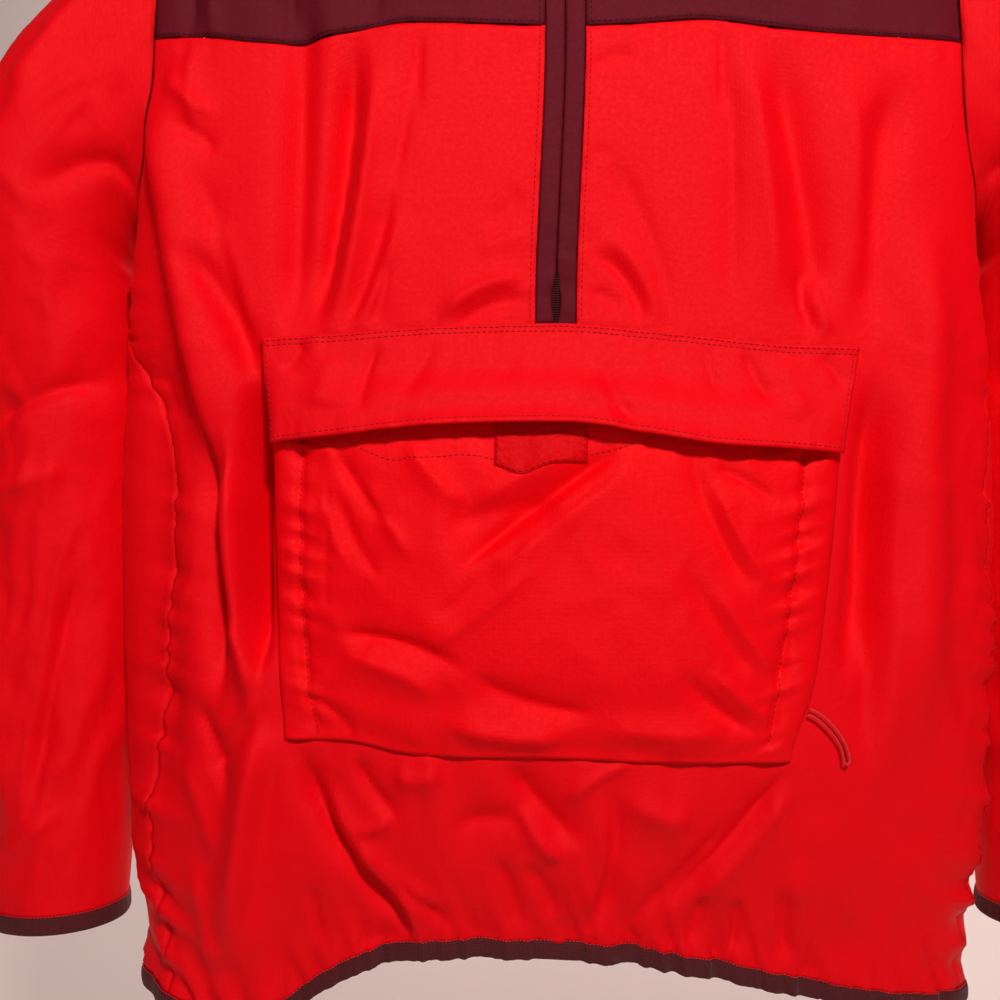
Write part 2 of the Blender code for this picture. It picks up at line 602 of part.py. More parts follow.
def make_hook_loop(pocket_out):
    """The hook-and-loop patch on the pocket's mouth, under the middle of the flap."""
    columns = columns_between((-1, 1), (1, 1))
    points, normals = grid(columns, (2, 2.25))
    out = pocket_out[-2:, EDGE_COLUMN - 1:EDGE_COLUMN + 3]
    share = np.array([0.25, 0.85])[:, None, None]
    rows = points[:1] * (1 - share) + points[1:] * share
    level = out[:1] * (1 - share[..., 0]) + out[1:] * share[..., 0]
    wall("hook_loop_patch", rows, np.repeat(normals[:1], 2, 0), "hook_loop",
         outer=level + GAP + 0.0014, inner=level + GAP)


# ---------------------------------------------------------------- hard pieces
def outline_plate(name, outline, thickness, finish, round_by):
    """A flat plate with its faces to the front and back, cut to an (x, z) outline."""
    curve = bpy.data.curves.new(name, "CURVE")
    curve.dimensions, curve.fill_mode, curve.extrude = "2D", "BOTH", thickness / 2
    spline = curve.splines.new("POLY")
    spline.points.add(len(outline) - 1)
    for point, (x, z) in zip(spline.points, outline):
        point.co = (x, z, 0, 1)
    spline.use_cyclic_u = True
    flat = bpy.data.objects.new(name + "_outline", curve)
    PARTS.objects.link(flat)
    bpy.context.view_layer.update()
    seen = flat.evaluated_get(bpy.context.evaluated_depsgraph_get())
    mesh = bpy.data.meshes.new_from_object(seen)
    bpy.data.objects.remove(flat)
    shape = bmesh.new()
    shape.from_mesh(mesh)
    bmesh.ops.remove_doubles(shape, verts=shape.verts, dist=1e-5)
    bmesh.ops.dissolve_limit(shape, angle_limit=math.radians(1), verts=shape.verts,
                             edges=shape.edges)
    bmesh.ops.recalc_face_normals(shape, faces=shape.faces)
    shape.to_mesh(mesh)
    shape.free()
    mesh.materials.clear()
    mesh.materials.append(material(finish))
    made = bpy.data.objects.new(name, mesh)
    made.rotation_euler = (math.pi / 2, 0, 0)
    made.location = (0, 0, -HOOK_HEIGHT)
    PARTS.objects.link(made)
    rounded = made.modifiers.new("Rounded", "BEVEL")
    rounded.width, rounded.segments = round_by, 2
    return made


HANGER_THICK = 0.012
HANGER_TIP = 0.212
HANGER_DEPTH = 0.024
HANGER_PEAK = 0.726
HANGER_UNDER_CLOTH = 0.0075
HOOK_WIRE = 0.0032
HOOK_RADIUS = 0.021


def make_hanger():
    """A board that follows the shoulders, with a rise in the middle for the hook."""
    across = np.linspace(-HANGER_TIP, HANGER_TIP, 31)
    arm = shoulder_height(across) - HANGER_UNDER_CLOTH
    rise = smooth_step((NECK_HALF * 0.9 - np.abs(across)) / (NECK_HALF * 0.75))
    top = arm + rise * (HANGER_PEAK - arm)
    bottom = arm - HANGER_DEPTH
    loop = list(zip(across, top)) + list(zip(across[::-1], bottom[::-1]))
    outline_plate("hanger_body", loop, HANGER_THICK, "pale_wood", round_by=0.003)


def tube(name, route, radius, finish, sides=2):
    curve = bpy.data.curves.new(name, "CURVE")
    curve.dimensions, curve.bevel_depth, curve.bevel_resolution = "3D", radius, sides
    curve.use_fill_caps = True
    spline = curve.splines.new("POLY")
    spline.points.add(len(route) - 1)
    for point, (x, y, z) in zip(spline.points, route):
        point.co = (x, y, z - HOOK_HEIGHT, 1)
    curve.materials.append(material(finish))
    made = bpy.data.objects.new(name, curve)
    PARTS.objects.link(made)
    return made


def make_hook():
    """A wire hook: up from the body, to the right and over the rail, open at the lower left."""
    centre = HOOK_HEIGHT - HOOK_RADIUS + HOOK_WIRE / 2
    route = [(0, 0, HANGER_PEAK + GAP), (0, 0, HANGER_PEAK + 0.010), (0, 0, HANGER_PEAK + 0.022)]
    route += [(HOOK_RADIUS * math.cos(turn), 0, centre + HOOK_RADIUS * math.sin(turn))
              for turn in np.radians(np.arange(-45, 196, 30))]
    smooth = curve_through(route, 0.006)
    tube("hanger_hook", [tuple(p) for p in smooth], HOOK_WIRE / 2, "steel")


SLIDER_WIDE, SLIDER_TALL, SLIDER_DEEP = 0.0084, 0.0105, 0.0040
LUG_REACH, LUG_THICK, PIN_RADIUS = 0.0042, 0.0012, 0.0006
PULL_WIDE, PULL_LONG, PULL_THICK, EYE_RADIUS = 0.0046, 0.021, 0.0014, 0.0010
LUG_INNER = PULL_WIDE / 2 + GAP      # from the tab's middle to a lug's inner face


def zip_top():
    """(x, y, z) of the zip tape's front near the collar's top, where the slider sits."""
    points, normals = zip_strip((-0.95, 0.95))
    middle = (points[-1] + points[-2]).mean(axis=0) / 2
    front = middle + normals[-1].mean(axis=0) * -0.0028
    return front[0], front[1], front[2]


def box_object(name, centre, size, finish, visible=True):
    shape = bmesh.new()
    bmesh.ops.create_cube(shape, size=1)
    bmesh.ops.scale(shape, vec=size, verts=shape.verts)
    mesh = bpy.data.meshes.new(name)
    shape.to_mesh(mesh)
    shape.free()
    mesh.materials.append(material(finish))
    made = bpy.data.objects.new(name, mesh)
    made.location = (centre[0], centre[1], centre[2] - HOOK_HEIGHT)
    (PARTS if visible else TOOLS).objects.link(made)
    if not visible:
        made.hide_render, made.display_type = True, "WIRE"
    return made


def rod_object(name, centre, radius, length, finish, visible=True):
    """A round bar that lies along X."""
    shape = bmesh.new()
    bmesh.ops.create_cone(shape, cap_ends=True, segments=20, radius1=radius, radius2=radius,
                          depth=length)
    mesh = bpy.data.meshes.new(name)
    shape.to_mesh(mesh)
    shape.free()
    mesh.materials.append(material(finish))
    made = bpy.data.objects.new(name, mesh)
    made.rotation_euler = (0, math.pi / 2, 0)
    made.location = (centre[0], centre[1], centre[2] - HOOK_HEIGHT)
    (PARTS if visible else TOOLS).objects.link(made)
    if not visible:
        made.hide_render, made.display_type = True, "WIRE"
    return made


def joined(target, other, operation):
    cut = target.modifiers.new(other.name, "BOOLEAN")
    cut.operation = operation
    cut.object = other


def make_slider_and_pull():
    """The slider, with two lugs and a pin, and the pull tab whose eye turns on the pin."""
    x, y, z = zip_top()
    face = y - GAP - SLIDER_DEEP
    slider = box_object("zip_slider", (x, face + SLIDER_DEEP / 2, z),
                        (SLIDER_WIDE, SLIDER_DEEP, SLIDER_TALL), "dark_metal")
    pin_y = face - LUG_REACH + 0.0018
    for side, word in ((-1, "left"), (1, "right")):
        lug_x = x + side * (LUG_INNER + LUG_THICK / 2)
        lug = box_object("lug_" + word, (lug_x, face - LUG_REACH / 2 + 0.0005, z),
                         (LUG_THICK, LUG_REACH + 0.001, 0.0036), "dark_metal", visible=False)
        joined(slider, lug, "UNION")
    pin = rod_object("pin", (x, pin_y, z), PIN_RADIUS, 2 * LUG_INNER + LUG_THICK,
                     "dark_metal", visible=False)
    joined(slider, pin, "UNION")
    tab = box_object("zip_pull", (x, pin_y, z - PULL_LONG / 2 + 0.002),
                     (PULL_WIDE, PULL_THICK, PULL_LONG), "dark_metal")
    barrel = rod_object("barrel", (x, pin_y, z), EYE_RADIUS + 0.0007, PULL_WIDE,
                        "dark_metal", visible=False)
    joined(tab, barrel, "UNION")
    eye = rod_object("eye", (x, pin_y, z), EYE_RADIUS, PULL_WIDE * 1.5, "dark_metal", visible=False)
    joined(tab, eye, "DIFFERENCE")


# The cord loop that hangs out of the pocket's right edge: offsets from its exit, in metres, as
# (to the right, outwards, up), out along one strand and back along the other.
CORD_RADIUS = 0.0007
CORD_EXIT_LEVEL = 1.17
CORD_ROUTE = (
    (0.0006, 0.0030, 0.0000), (0.0045, 0.0034, -0.0016), (0.0092, 0.0036, -0.0050),
    (0.0138, 0.0036, -0.0096), (0.0178, 0.0035, -0.0145), (0.0208, 0.0034, -0.0196),
    (0.0226, 0.0033, -0.0246), (0.0232, 0.0033, -0.0284), (0.0218, 0.0033, -0.0306),
    (0.0199, 0.0033, -0.0293), (0.0194, 0.0033, -0.0256), (0.0180, 0.0034, -0.0209),
    (0.0153, 0.0035, -0.0162), (0.0114, 0.0036, -0.0116), (0.0070, 0.0036, -0.0073),
    (0.0028, 0.0034, -0.0042), (-0.0004, 0.0030, -0.0030),
)


def curve_through(points, step):
    """A smooth curve through the points, with a point about every step."""
    p = np.array(points, float)
    p = np.concatenate([[2 * p[0] - p[1]], p, [2 * p[-1] - p[-2]]])
    out = []
    for k in range(1, len(p) - 2):
        a, b, c, d = p[k - 1:k + 3]
        count = max(1, round(np.linalg.norm(c - b) / step))
        for t in np.arange(count) / count:
            out.append(0.5 * (2 * b + (c - a) * t + (2 * a - 5 * b + 4 * c - d) * t ** 2
                              + (3 * b - a - 3 * c + d) * t ** 3))
    return np.array(out + [p[-2]])


def make_cord():
    route = []
    for right, out, up in curve_through(CORD_ROUTE, 0.0034):
        girth, height = place_of(1, EDGE_COLUMN, CORD_EXIT_LEVEL, False)
        point, normal = body_point(np.array(girth + right), np.array(height + up))
        route.append(point + normal * out)
    tube("pull_cord", [tuple(p) for p in route], CORD_RADIUS, "red_cord")


# ---------------------------------------------------------------- build
clear_scene()
PARTS = bpy.data.collections.new("anorak_on_hanger")
TOOLS = bpy.data.collections.new("cutters")
for group in (PARTS, TOOLS):
    bpy.context.scene.collection.children.link(group)

make_front()
make_back()
make_yokes()
make_sleeves()
make_hem_binding()
make_collar()
make_zip()
make_hook_loop(make_pocket())
make_hanger()
make_hook()
make_slider_and_pull()
make_cord()
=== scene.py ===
"""The looks of a half-zip anorak pullover that hangs on a plain hanger.

Metres, +Z up, the chest faces -Y, and the origin is where the hanger's hook bears on its rail.
The garment is one form, body_point(girth, height). Girth runs round the body from 0 at centre
front, + to the right as seen from the front; heights are measured up from the hem at centre
front. Every panel is a fine grid on that form, with its own folds, creases and seam puckers.
"""

import math

import bpy
import numpy as np
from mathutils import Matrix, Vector
from mathutils.bvhtree import BVHTree


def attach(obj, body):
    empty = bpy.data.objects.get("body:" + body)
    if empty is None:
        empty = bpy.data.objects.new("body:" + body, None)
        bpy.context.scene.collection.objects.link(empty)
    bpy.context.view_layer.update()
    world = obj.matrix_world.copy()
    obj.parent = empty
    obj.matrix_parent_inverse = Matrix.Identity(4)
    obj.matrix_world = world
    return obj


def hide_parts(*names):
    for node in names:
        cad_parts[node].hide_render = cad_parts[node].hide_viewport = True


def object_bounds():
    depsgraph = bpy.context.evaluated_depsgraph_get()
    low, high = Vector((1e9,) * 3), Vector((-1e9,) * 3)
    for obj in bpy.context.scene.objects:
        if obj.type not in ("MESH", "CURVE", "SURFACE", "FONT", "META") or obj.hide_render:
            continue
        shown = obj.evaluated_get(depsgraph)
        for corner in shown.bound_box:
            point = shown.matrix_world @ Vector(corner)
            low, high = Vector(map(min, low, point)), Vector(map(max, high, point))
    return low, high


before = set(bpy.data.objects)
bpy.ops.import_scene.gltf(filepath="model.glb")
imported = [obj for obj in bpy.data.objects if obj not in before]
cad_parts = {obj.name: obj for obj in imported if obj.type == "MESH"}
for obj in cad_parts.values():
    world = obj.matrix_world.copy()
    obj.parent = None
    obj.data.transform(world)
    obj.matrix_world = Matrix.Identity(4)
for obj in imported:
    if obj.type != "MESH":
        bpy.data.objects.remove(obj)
cad_low, cad_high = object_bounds()

# ---------------------------------------------------------------- sizes shared with the CAD model
HOOK_HEIGHT = 0.815
CAD_CLOTH = 0.0012
GAP = 0.0003
NECK_HALF = 0.075
NECK_TOP = 0.705
FRONT_NECK = 0.648
BACK_NECK = 0.690
SHOULDER_SLOPE = 0.333
SHOULDER_TIP = 0.229
SHOULDER_ROUND = 0.560
UNDERARM_LEVEL = 3.45
ARMHOLE_HALF = 0.046
ARMHOLE_RISE = 0.075
SLIT_HALF = 0.0116
BINDING_DEPTH = 0.0095
COLLAR_FRONT = 0.724
COLLAR_BACK = 0.752
COLLAR_NARROW = 0.94
COLLAR_DEEP = 0.07
POCKET_BULGE = 0.017
MOUTH_GAPE = 0.006

# ---------------------------------------------------------------- sizes of the finished cloth
SHELL_WALL, YOKE_WALL, FLAP_WALL, COLLAR_WALL = 0.0005, 0.0006, 0.0013, 0.0022
CUFF_WALL, HEM_WALL, TAPE_WALL, PATCH_WALL = 0.0014, 0.0016, 0.0008, 0.0004
WEAVE_PITCH, RIB_PITCH, KNIT_PITCH = 0.0013, 0.0011, 0.0016
BINDING_LAP = 0.0012     # how far a binding reaches up over the edge it holds
BINDING_PROUD = 0.0005
CUFF_ROLL, HEM_ROLL = 0.0008, 0.0009     # how far the bindings bulge
CUFF_ROWS, HEM_ROWS = 9, 10              # rings of points in a binding, from its upper edge down
LEAST_LIFT = 0.0009      # the pouch never lies closer to the front than this
SWELL = 0.008            # how far the lower body bellies out at its sides
SLEEVE_RADIUS, CUFF_RADIUS = 0.055, 0.045     # turn an angle round a sleeve into a distance
# How far in from an edge or seam the rows of stitches run, and the width of their sunk line.
YOKE_INSET, ZIP_INSET, FLAP_INSET, PATCH_INSET = 0.0022, 0.0026, 0.0027, 0.0016
FLAP_SEAM_INSETS = (0.0016, 0.0043)
STITCH_GROOVE = 0.0009
# How strongly each set of creases shows.
CHEST_DEPTH, BAND_DEPTH, SIDE_DEPTH, SLEEVE_DEPTH = 1.7, 1.75, 1.6, 1.6
POCKET_DEPTH, FLAP_DEPTH, BACK_DEPTH, BACK_YOKE_DEPTH = 1.3, 1.5, 2.0, 1.5

SECTIONS = {
    "height":     (-0.05, 0.01, 0.06, 0.117, 0.25, 0.353, 0.42, 0.521, 0.600, 0.720),
    "half_width": (0.230, 0.234, 0.243, 0.249, 0.252, 0.249, 0.247, 0.242, 0.238, 0.230),
    "front":      (0.052, 0.056, 0.068, 0.074, 0.067, 0.060, 0.057, 0.055, 0.054, 0.052),
    "back":       (0.046, 0.048, 0.053, 0.056, 0.054, 0.051, 0.049, 0.047, 0.046, 0.045),
    "square":     (2.6, 2.6, 2.6, 2.6, 2.8, 3.2, 4.0, 5.0, 5.0, 5.0),
}
LEVELS = {
    "girth":       (-0.55, -0.40, -0.26, -0.20, -0.16, -0.12, -0.08, 0.0,
                    0.04, 0.08, 0.12, 0.16, 0.20, 0.26, 0.40, 0.55),
    "hem":         (-0.012, -0.018, -0.028, -0.024, -0.017, -0.001, 0.009, 0.010,
                    0.007, -0.001, -0.010, -0.019, -0.026, -0.030, -0.018, -0.012),
    "pocket_foot": (0.110, 0.110, 0.112, 0.118, 0.126, 0.126, 0.119, 0.117,
                    0.115, 0.114, 0.114, 0.113, 0.110, 0.106, 0.108, 0.110),
    "flap_edge":   (0.280, 0.280, 0.278, 0.283, 0.287, 0.290, 0.294, 0.296,
                    0.291, 0.285, 0.283, 0.281, 0.280, 0.276, 0.278, 0.280),
    "flap_seam":   (0.340, 0.340, 0.338, 0.342, 0.346, 0.348, 0.351, 0.353,
                    0.350, 0.346, 0.342, 0.341, 0.339, 0.335, 0.338, 0.340),
    "yoke_seam":   (0.500, 0.506, 0.519, 0.5155, 0.511, 0.516, 0.522, 0.520,
                    0.521, 0.5235, 0.519, 0.516, 0.515, 0.517, 0.506, 0.500),
}
LINES = ("hem", "pocket_foot", "flap_edge", "flap_seam", "yoke_seam")
TOP_LEVEL = 5.0
FRONT_LINES = {
    "height":     (-0.05, 0.117, 0.151, 0.204, 0.245, 0.285, 0.353, 0.52, 0.72),
    "left_edge":  (0.150, 0.150, 0.152, 0.155, 0.157, 0.159, 0.166, 0.163, 0.160),
    "right_edge": (0.122, 0.125, 0.137, 0.146, 0.151, 0.155, 0.167, 0.163, 0.160),
    "left_shift": (0.026, 0.046, 0.052, 0.056, 0.058, 0.058, 0.052, 0.0, 0.0),
    "right_shift": (0.020, 0.022, 0.024, 0.028, 0.030, 0.030, 0.028, 0.0, 0.0),
    "zip_lean":   (-0.0022, -0.0022, -0.0022, -0.0022, -0.0022, -0.0022, -0.0022, 0.0035, 0.0035),
}
NECK_COLUMN, EDGE_COLUMN, SIDE_COLUMN = 4, 7, 11

# Folds run from start to end, bowed sideways by bow; rise is + for a ridge and - for a trough;
# left and right are the half widths on the two sides of the way it runs.
FRONT_FOLDS = (
    # name,            start,            end,              bow,    rise,   left,  right
    ("strip_upper",    (-0.184, 0.262), (-0.232, 0.500),  -0.004,  0.013, 0.009, 0.020),
    ("strip_lower",    (-0.162, 0.130), (-0.186, 0.285),  -0.004,  0.014, 0.009, 0.014),
    ("strip_foot",     (-0.188, 0.000), (-0.164, 0.150),   0.002,  0.007, 0.012, 0.018),
    ("strip_groove",   (-0.163, 0.145), (-0.165, 0.335),  -0.003, -0.015, 0.008, 0.006),
    ("groove_top",     (-0.167, 0.318), (-0.210, 0.402),   0.003, -0.009, 0.006, 0.007),
    ("side_recess",    (-0.226, 0.060), (-0.230, 0.375),  -0.002, -0.011, 0.030, 0.018),
    ("chest_left",     (-0.150, 0.335), (-0.143, 0.560),   0.002, -0.008, 0.011, 0.009),
    ("chest_left_in",  (-0.139, 0.340), (-0.110, 0.525),   0.004, -0.007, 0.012, 0.006),
    ("chest_right",    (0.143, 0.350),  (0.118, 0.520),    0.004, -0.006, 0.012, 0.012),
    ("right_groove",   (0.158, 0.150),  (0.176, 0.330),    0.004, -0.013, 0.008, 0.010),
    ("right_ridge",    (0.196, 0.100),  (0.205, 0.430),    0.004,  0.010, 0.014, 0.014),
    ("right_upper",    (0.172, 0.340),  (0.190, 0.500),   -0.004, -0.007, 0.010, 0.012),
)
BACK_FOLDS = (
    ("back_left",      (-0.170, 0.050), (-0.120, 0.470),   0.012, -0.012, 0.022, 0.016),
    ("back_left_in",   (-0.075, 0.060), (-0.058, 0.430),  -0.006,  0.008, 0.022, 0.018),
    ("back_middle",    (0.020, 0.050),  (0.010, 0.400),    0.006, -0.010, 0.020, 0.016),
    ("back_right_in",  (0.095, 0.050),  (0.060, 0.440),    0.008,  0.009, 0.018, 0.022),
    ("back_right",     (0.175, 0.040),  (0.125, 0.470),   -0.012, -0.012, 0.016, 0.022),
)
SLEEVE_RINGS = {
    "turn":  (0, 14, 28, 44, 62, 80, 90, 90, 90, 90, 90, 90),
    "x":     (0.252, 0.259, 0.262, 0.263, 0.263, 0.262, 0.261, 0.260, 0.261, 0.263, 0.267, 0.271),
    "z":     (0.42, 0.415, 0.411, 0.406, 0.399, 0.390, 0.378, 0.320, 0.245, 0.165, 0.090, 0.012),
    "width": (0.234, 0.168, 0.140, 0.122, 0.111, 0.105, 0.103, 0.101, 0.099, 0.095, 0.089, 0.082),
    "depth": (0.046, 0.052, 0.056, 0.059, 0.061, 0.061, 0.060, 0.057, 0.053, 0.048, 0.043, 0.038),
    "blend": (0.0, 0.35, 0.65, 0.85, 1, 1, 1, 1, 1, 1, 1, 1),
    "sway":  (0, 0, 0.001, 0.002, 0.004, 0.006, 0.008, 0.011, 0.012, 0.010, 0.007, 0.004),
}

# ---------------------------------------------------------------- creases of the fine cloth
# Same columns as the folds, on the fine cloth only. A narrow side is the steep one.
CHEST_CREASES = (
    # name,              start,            end,              bow,     rise,    left,  right
    ("left_band",        (-0.151, 0.342), (-0.144, 0.512),  0.001, -0.0022, 0.008, 0.006),
    ("left_inner",       (-0.137, 0.347), (-0.113, 0.512),  0.004, -0.0050, 0.009, 0.003),
    ("left_inner_lit",   (-0.127, 0.345), (-0.103, 0.500),  0.004,  0.0032, 0.004, 0.007),
    ("left_third",       (-0.120, 0.347), (-0.092, 0.432),  0.003, -0.0030, 0.008, 0.003),
    ("left_third_up",    (-0.094, 0.425), (-0.078, 0.519),  0.002, -0.0018, 0.007, 0.003),
    ("left_third_lit",   (-0.113, 0.350), (-0.088, 0.420),  0.003,  0.0022, 0.003, 0.006),
    ("left_fourth",      (-0.104, 0.350), (-0.094, 0.392),  0.001, -0.0018, 0.004, 0.003),
    ("press_left",       (-0.078, 0.466), (-0.078, 0.520),  0.000, -0.0013, 0.0016, 0.0016),
    ("press_right",      (0.092, 0.470),  (0.090, 0.523),   0.000, -0.0016, 0.0025, 0.0030),
    ("armpit_slant",     (-0.176, 0.330), (-0.211, 0.452),  0.006, -0.0030, 0.004, 0.010),
    ("armpit_lit",       (-0.172, 0.345), (-0.196, 0.418),  0.004,  0.0022, 0.005, 0.007),
    ("crumple_a",        (-0.224, 0.500), (-0.190, 0.470),  0.004,  0.0026, 0.006, 0.006),
    ("crumple_b",        (-0.218, 0.468), (-0.192, 0.448), -0.004, -0.0024, 0.005, 0.004),
    ("crumple_c",        (-0.206, 0.512), (-0.200, 0.455),  0.003,  0.0020, 0.005, 0.007),
    ("zip_hook_left",    (-0.068, 0.353), (-0.016, 0.378), -0.007,  0.0032, 0.007, 0.003),
    ("zip_hook_dark",    (-0.060, 0.349), (-0.016, 0.369), -0.005, -0.0022, 0.003, 0.005),
    ("zip_left_mid",     (-0.042, 0.408), (-0.020, 0.430),  0.002, -0.0012, 0.006, 0.006),
    ("zip_left_low",     (-0.046, 0.392), (-0.016, 0.402), -0.002,  0.0012, 0.005, 0.005),
    ("zip_right_high",   (0.016, 0.496),  (0.044, 0.504),  -0.002, -0.0013, 0.004, 0.003),
    ("zip_right_mid",    (0.018, 0.452),  (0.030, 0.449),   0.001, -0.0011, 0.003, 0.003),
    ("right_slant",      (0.062, 0.352),  (0.026, 0.452),   0.006, -0.0022, 0.010, 0.007),
    ("right_hook",       (0.046, 0.352),  (0.016, 0.395),   0.007, -0.0032, 0.003, 0.006),
    ("right_hook_lit",   (0.054, 0.352),  (0.024, 0.404),   0.006,  0.0024, 0.004, 0.007),
    ("right_hook_low",   (0.034, 0.358),  (0.016, 0.371),   0.004, -0.0018, 0.003, 0.004),
    ("right_soft",       (0.094, 0.352),  (0.094, 0.516),   0.003, -0.0024, 0.009, 0.006),
    ("right_soft_lit",   (0.122, 0.360),  (0.105, 0.512),   0.002,  0.0030, 0.010, 0.008),
    ("right_band",       (0.148, 0.352),  (0.119, 0.505),   0.003, -0.0024, 0.008, 0.008),
    ("right_tuck",       (0.143, 0.346),  (0.135, 0.388),  -0.003, -0.0034, 0.004, 0.003),
    ("right_tuck_lit",   (0.151, 0.346),  (0.144, 0.384),  -0.003,  0.0022, 0.004, 0.005),
    ("right_side",       (0.168, 0.352),  (0.160, 0.500),   0.004,  0.0030, 0.010, 0.008),
)
BAND_CREASES = (
    ("tube_edge",        (-0.184, 0.020), (-0.161, 0.140),  0.000,  0.0040, 0.010, 0.004),
    ("tube_valley",      (-0.176, 0.016), (-0.154, 0.128),  0.001, -0.0030, 0.004, 0.007),
    ("long_valley",      (-0.076, 0.012), (-0.146, 0.126), -0.010, -0.0076, 0.0045, 0.011),
    ("long_ridge",       (-0.064, 0.016), (-0.130, 0.110), -0.009,  0.0052, 0.008, 0.005),
    ("hook_ridge",       (-0.062, 0.030), (-0.113, 0.074), -0.004,  0.0032, 0.006, 0.005),
    ("hook_valley",      (-0.052, 0.014), (-0.106, 0.070), -0.004, -0.0024, 0.005, 0.006),
    ("hook_top",         (-0.114, 0.076), (-0.092, 0.086),  0.004,  0.0032, 0.004, 0.004),
    ("foot_drop",        (-0.089, 0.082), (-0.113, 0.118), -0.003, -0.0036, 0.003, 0.006),
    ("short_left",       (-0.135, 0.010), (-0.139, 0.048),  0.001, -0.0022, 0.003, 0.004),
    ("puff_left",        (-0.092, 0.106), (-0.062, 0.108),  0.002,  0.0032, 0.008, 0.008),
    ("mid_slope",        (0.012, 0.066),  (-0.030, 0.116), -0.003, -0.0050, 0.005, 0.010),
    ("mid_lit",          (0.002, 0.058),  (-0.024, 0.090), -0.002,  0.0042, 0.006, 0.004),
    ("mid_bowl",         (-0.060, 0.078), (-0.010, 0.074), -0.006, -0.0034, 0.012, 0.010),
    ("right_thin",       (0.014, 0.014),  (0.026, 0.104),   0.009, -0.0030, 0.003, 0.005),
    ("right_thin_lit",   (0.006, 0.018),  (0.019, 0.098),   0.009,  0.0020, 0.006, 0.003),
    ("right_cross",      (0.000, 0.090),  (0.040, 0.115),  -0.003,  0.0026, 0.005, 0.003),
    ("right_long",       (0.052, 0.026),  (0.127, 0.114),   0.003, -0.0036, 0.006, 0.004),
    ("right_long_lit",   (0.062, 0.026),  (0.130, 0.104),   0.003,  0.0024, 0.004, 0.008),
    ("right_long_two",   (0.031, 0.014),  (0.092, 0.082),   0.002, -0.0024, 0.005, 0.003),
    ("right_puff",       (0.034, 0.094),  (0.074, 0.082),   0.003,  0.0030, 0.008, 0.010),
    ("drop_a",           (-0.022, 0.016), (-0.036, 0.062),  0.002, -0.0028, 0.005, 0.005),
    ("drop_b",           (-0.002, 0.024), (-0.019, 0.058),  0.002, -0.0026, 0.005, 0.005),
    ("drop_c",           (0.070, 0.006),  (0.078, 0.040),   0.002, -0.0024, 0.004, 0.004),
    ("drop_d",           (0.096, 0.000),  (0.098, 0.038),   0.001, -0.0026, 0.004, 0.005),
    ("far_right_edge",   (0.126, -0.006), (0.122, 0.042),   0.000, -0.0032, 0.003, 0.007),
    ("far_right_lit",    (0.134, -0.010), (0.130, 0.060),   0.000,  0.0024, 0.005, 0.010),
    ("far_right_slant",  (0.160, 0.010),  (0.140, 0.090),   0.004,  0.0022, 0.010, 0.008),
)
SIDE_CREASES = (
    ("tube_rim",         (-0.161, 0.152), (-0.186, 0.300), -0.003,  0.0042, 0.0035, 0.007),
    ("rim_tuck",         (-0.170, 0.175), (-0.184, 0.262),  0.002, -0.0030, 0.003, 0.004),
    ("rim_point_up",     (-0.163, 0.150), (-0.182, 0.190),  0.001,  0.0026, 0.004, 0.004),
    ("rim_point_down",   (-0.163, 0.148), (-0.196, 0.128), -0.003,  0.0024, 0.004, 0.004),
    ("rim_point_low",    (-0.166, 0.140), (-0.198, 0.104), -0.003, -0.0026, 0.004, 0.005),
    ("side_turn",        (-0.190, 0.140), (-0.199, 0.300),  0.004, -0.0100, 0.010, 0.0038),
    ("side_slant",       (-0.182, 0.086), (-0.208, 0.146),  0.004, -0.0034, 0.004, 0.006),
    ("side_slant_two",   (-0.190, 0.060), (-0.214, 0.110),  0.003,  0.0024, 0.005, 0.005),
    ("side_foot",        (-0.196, 0.000), (-0.206, 0.060),  0.003,  0.0030, 0.006, 0.006),
    ("groove_deep",      (-0.163, 0.146), (-0.166, 0.332), -0.003, -0.0150, 0.0060, 0.0042),
    ("right_roll",       (0.176, 0.080),  (0.184, 0.330),   0.003,  0.0040, 0.007, 0.010),
    ("right_roll_dark",  (0.166, 0.100),  (0.172, 0.320),   0.003, -0.0040, 0.006, 0.005),
)
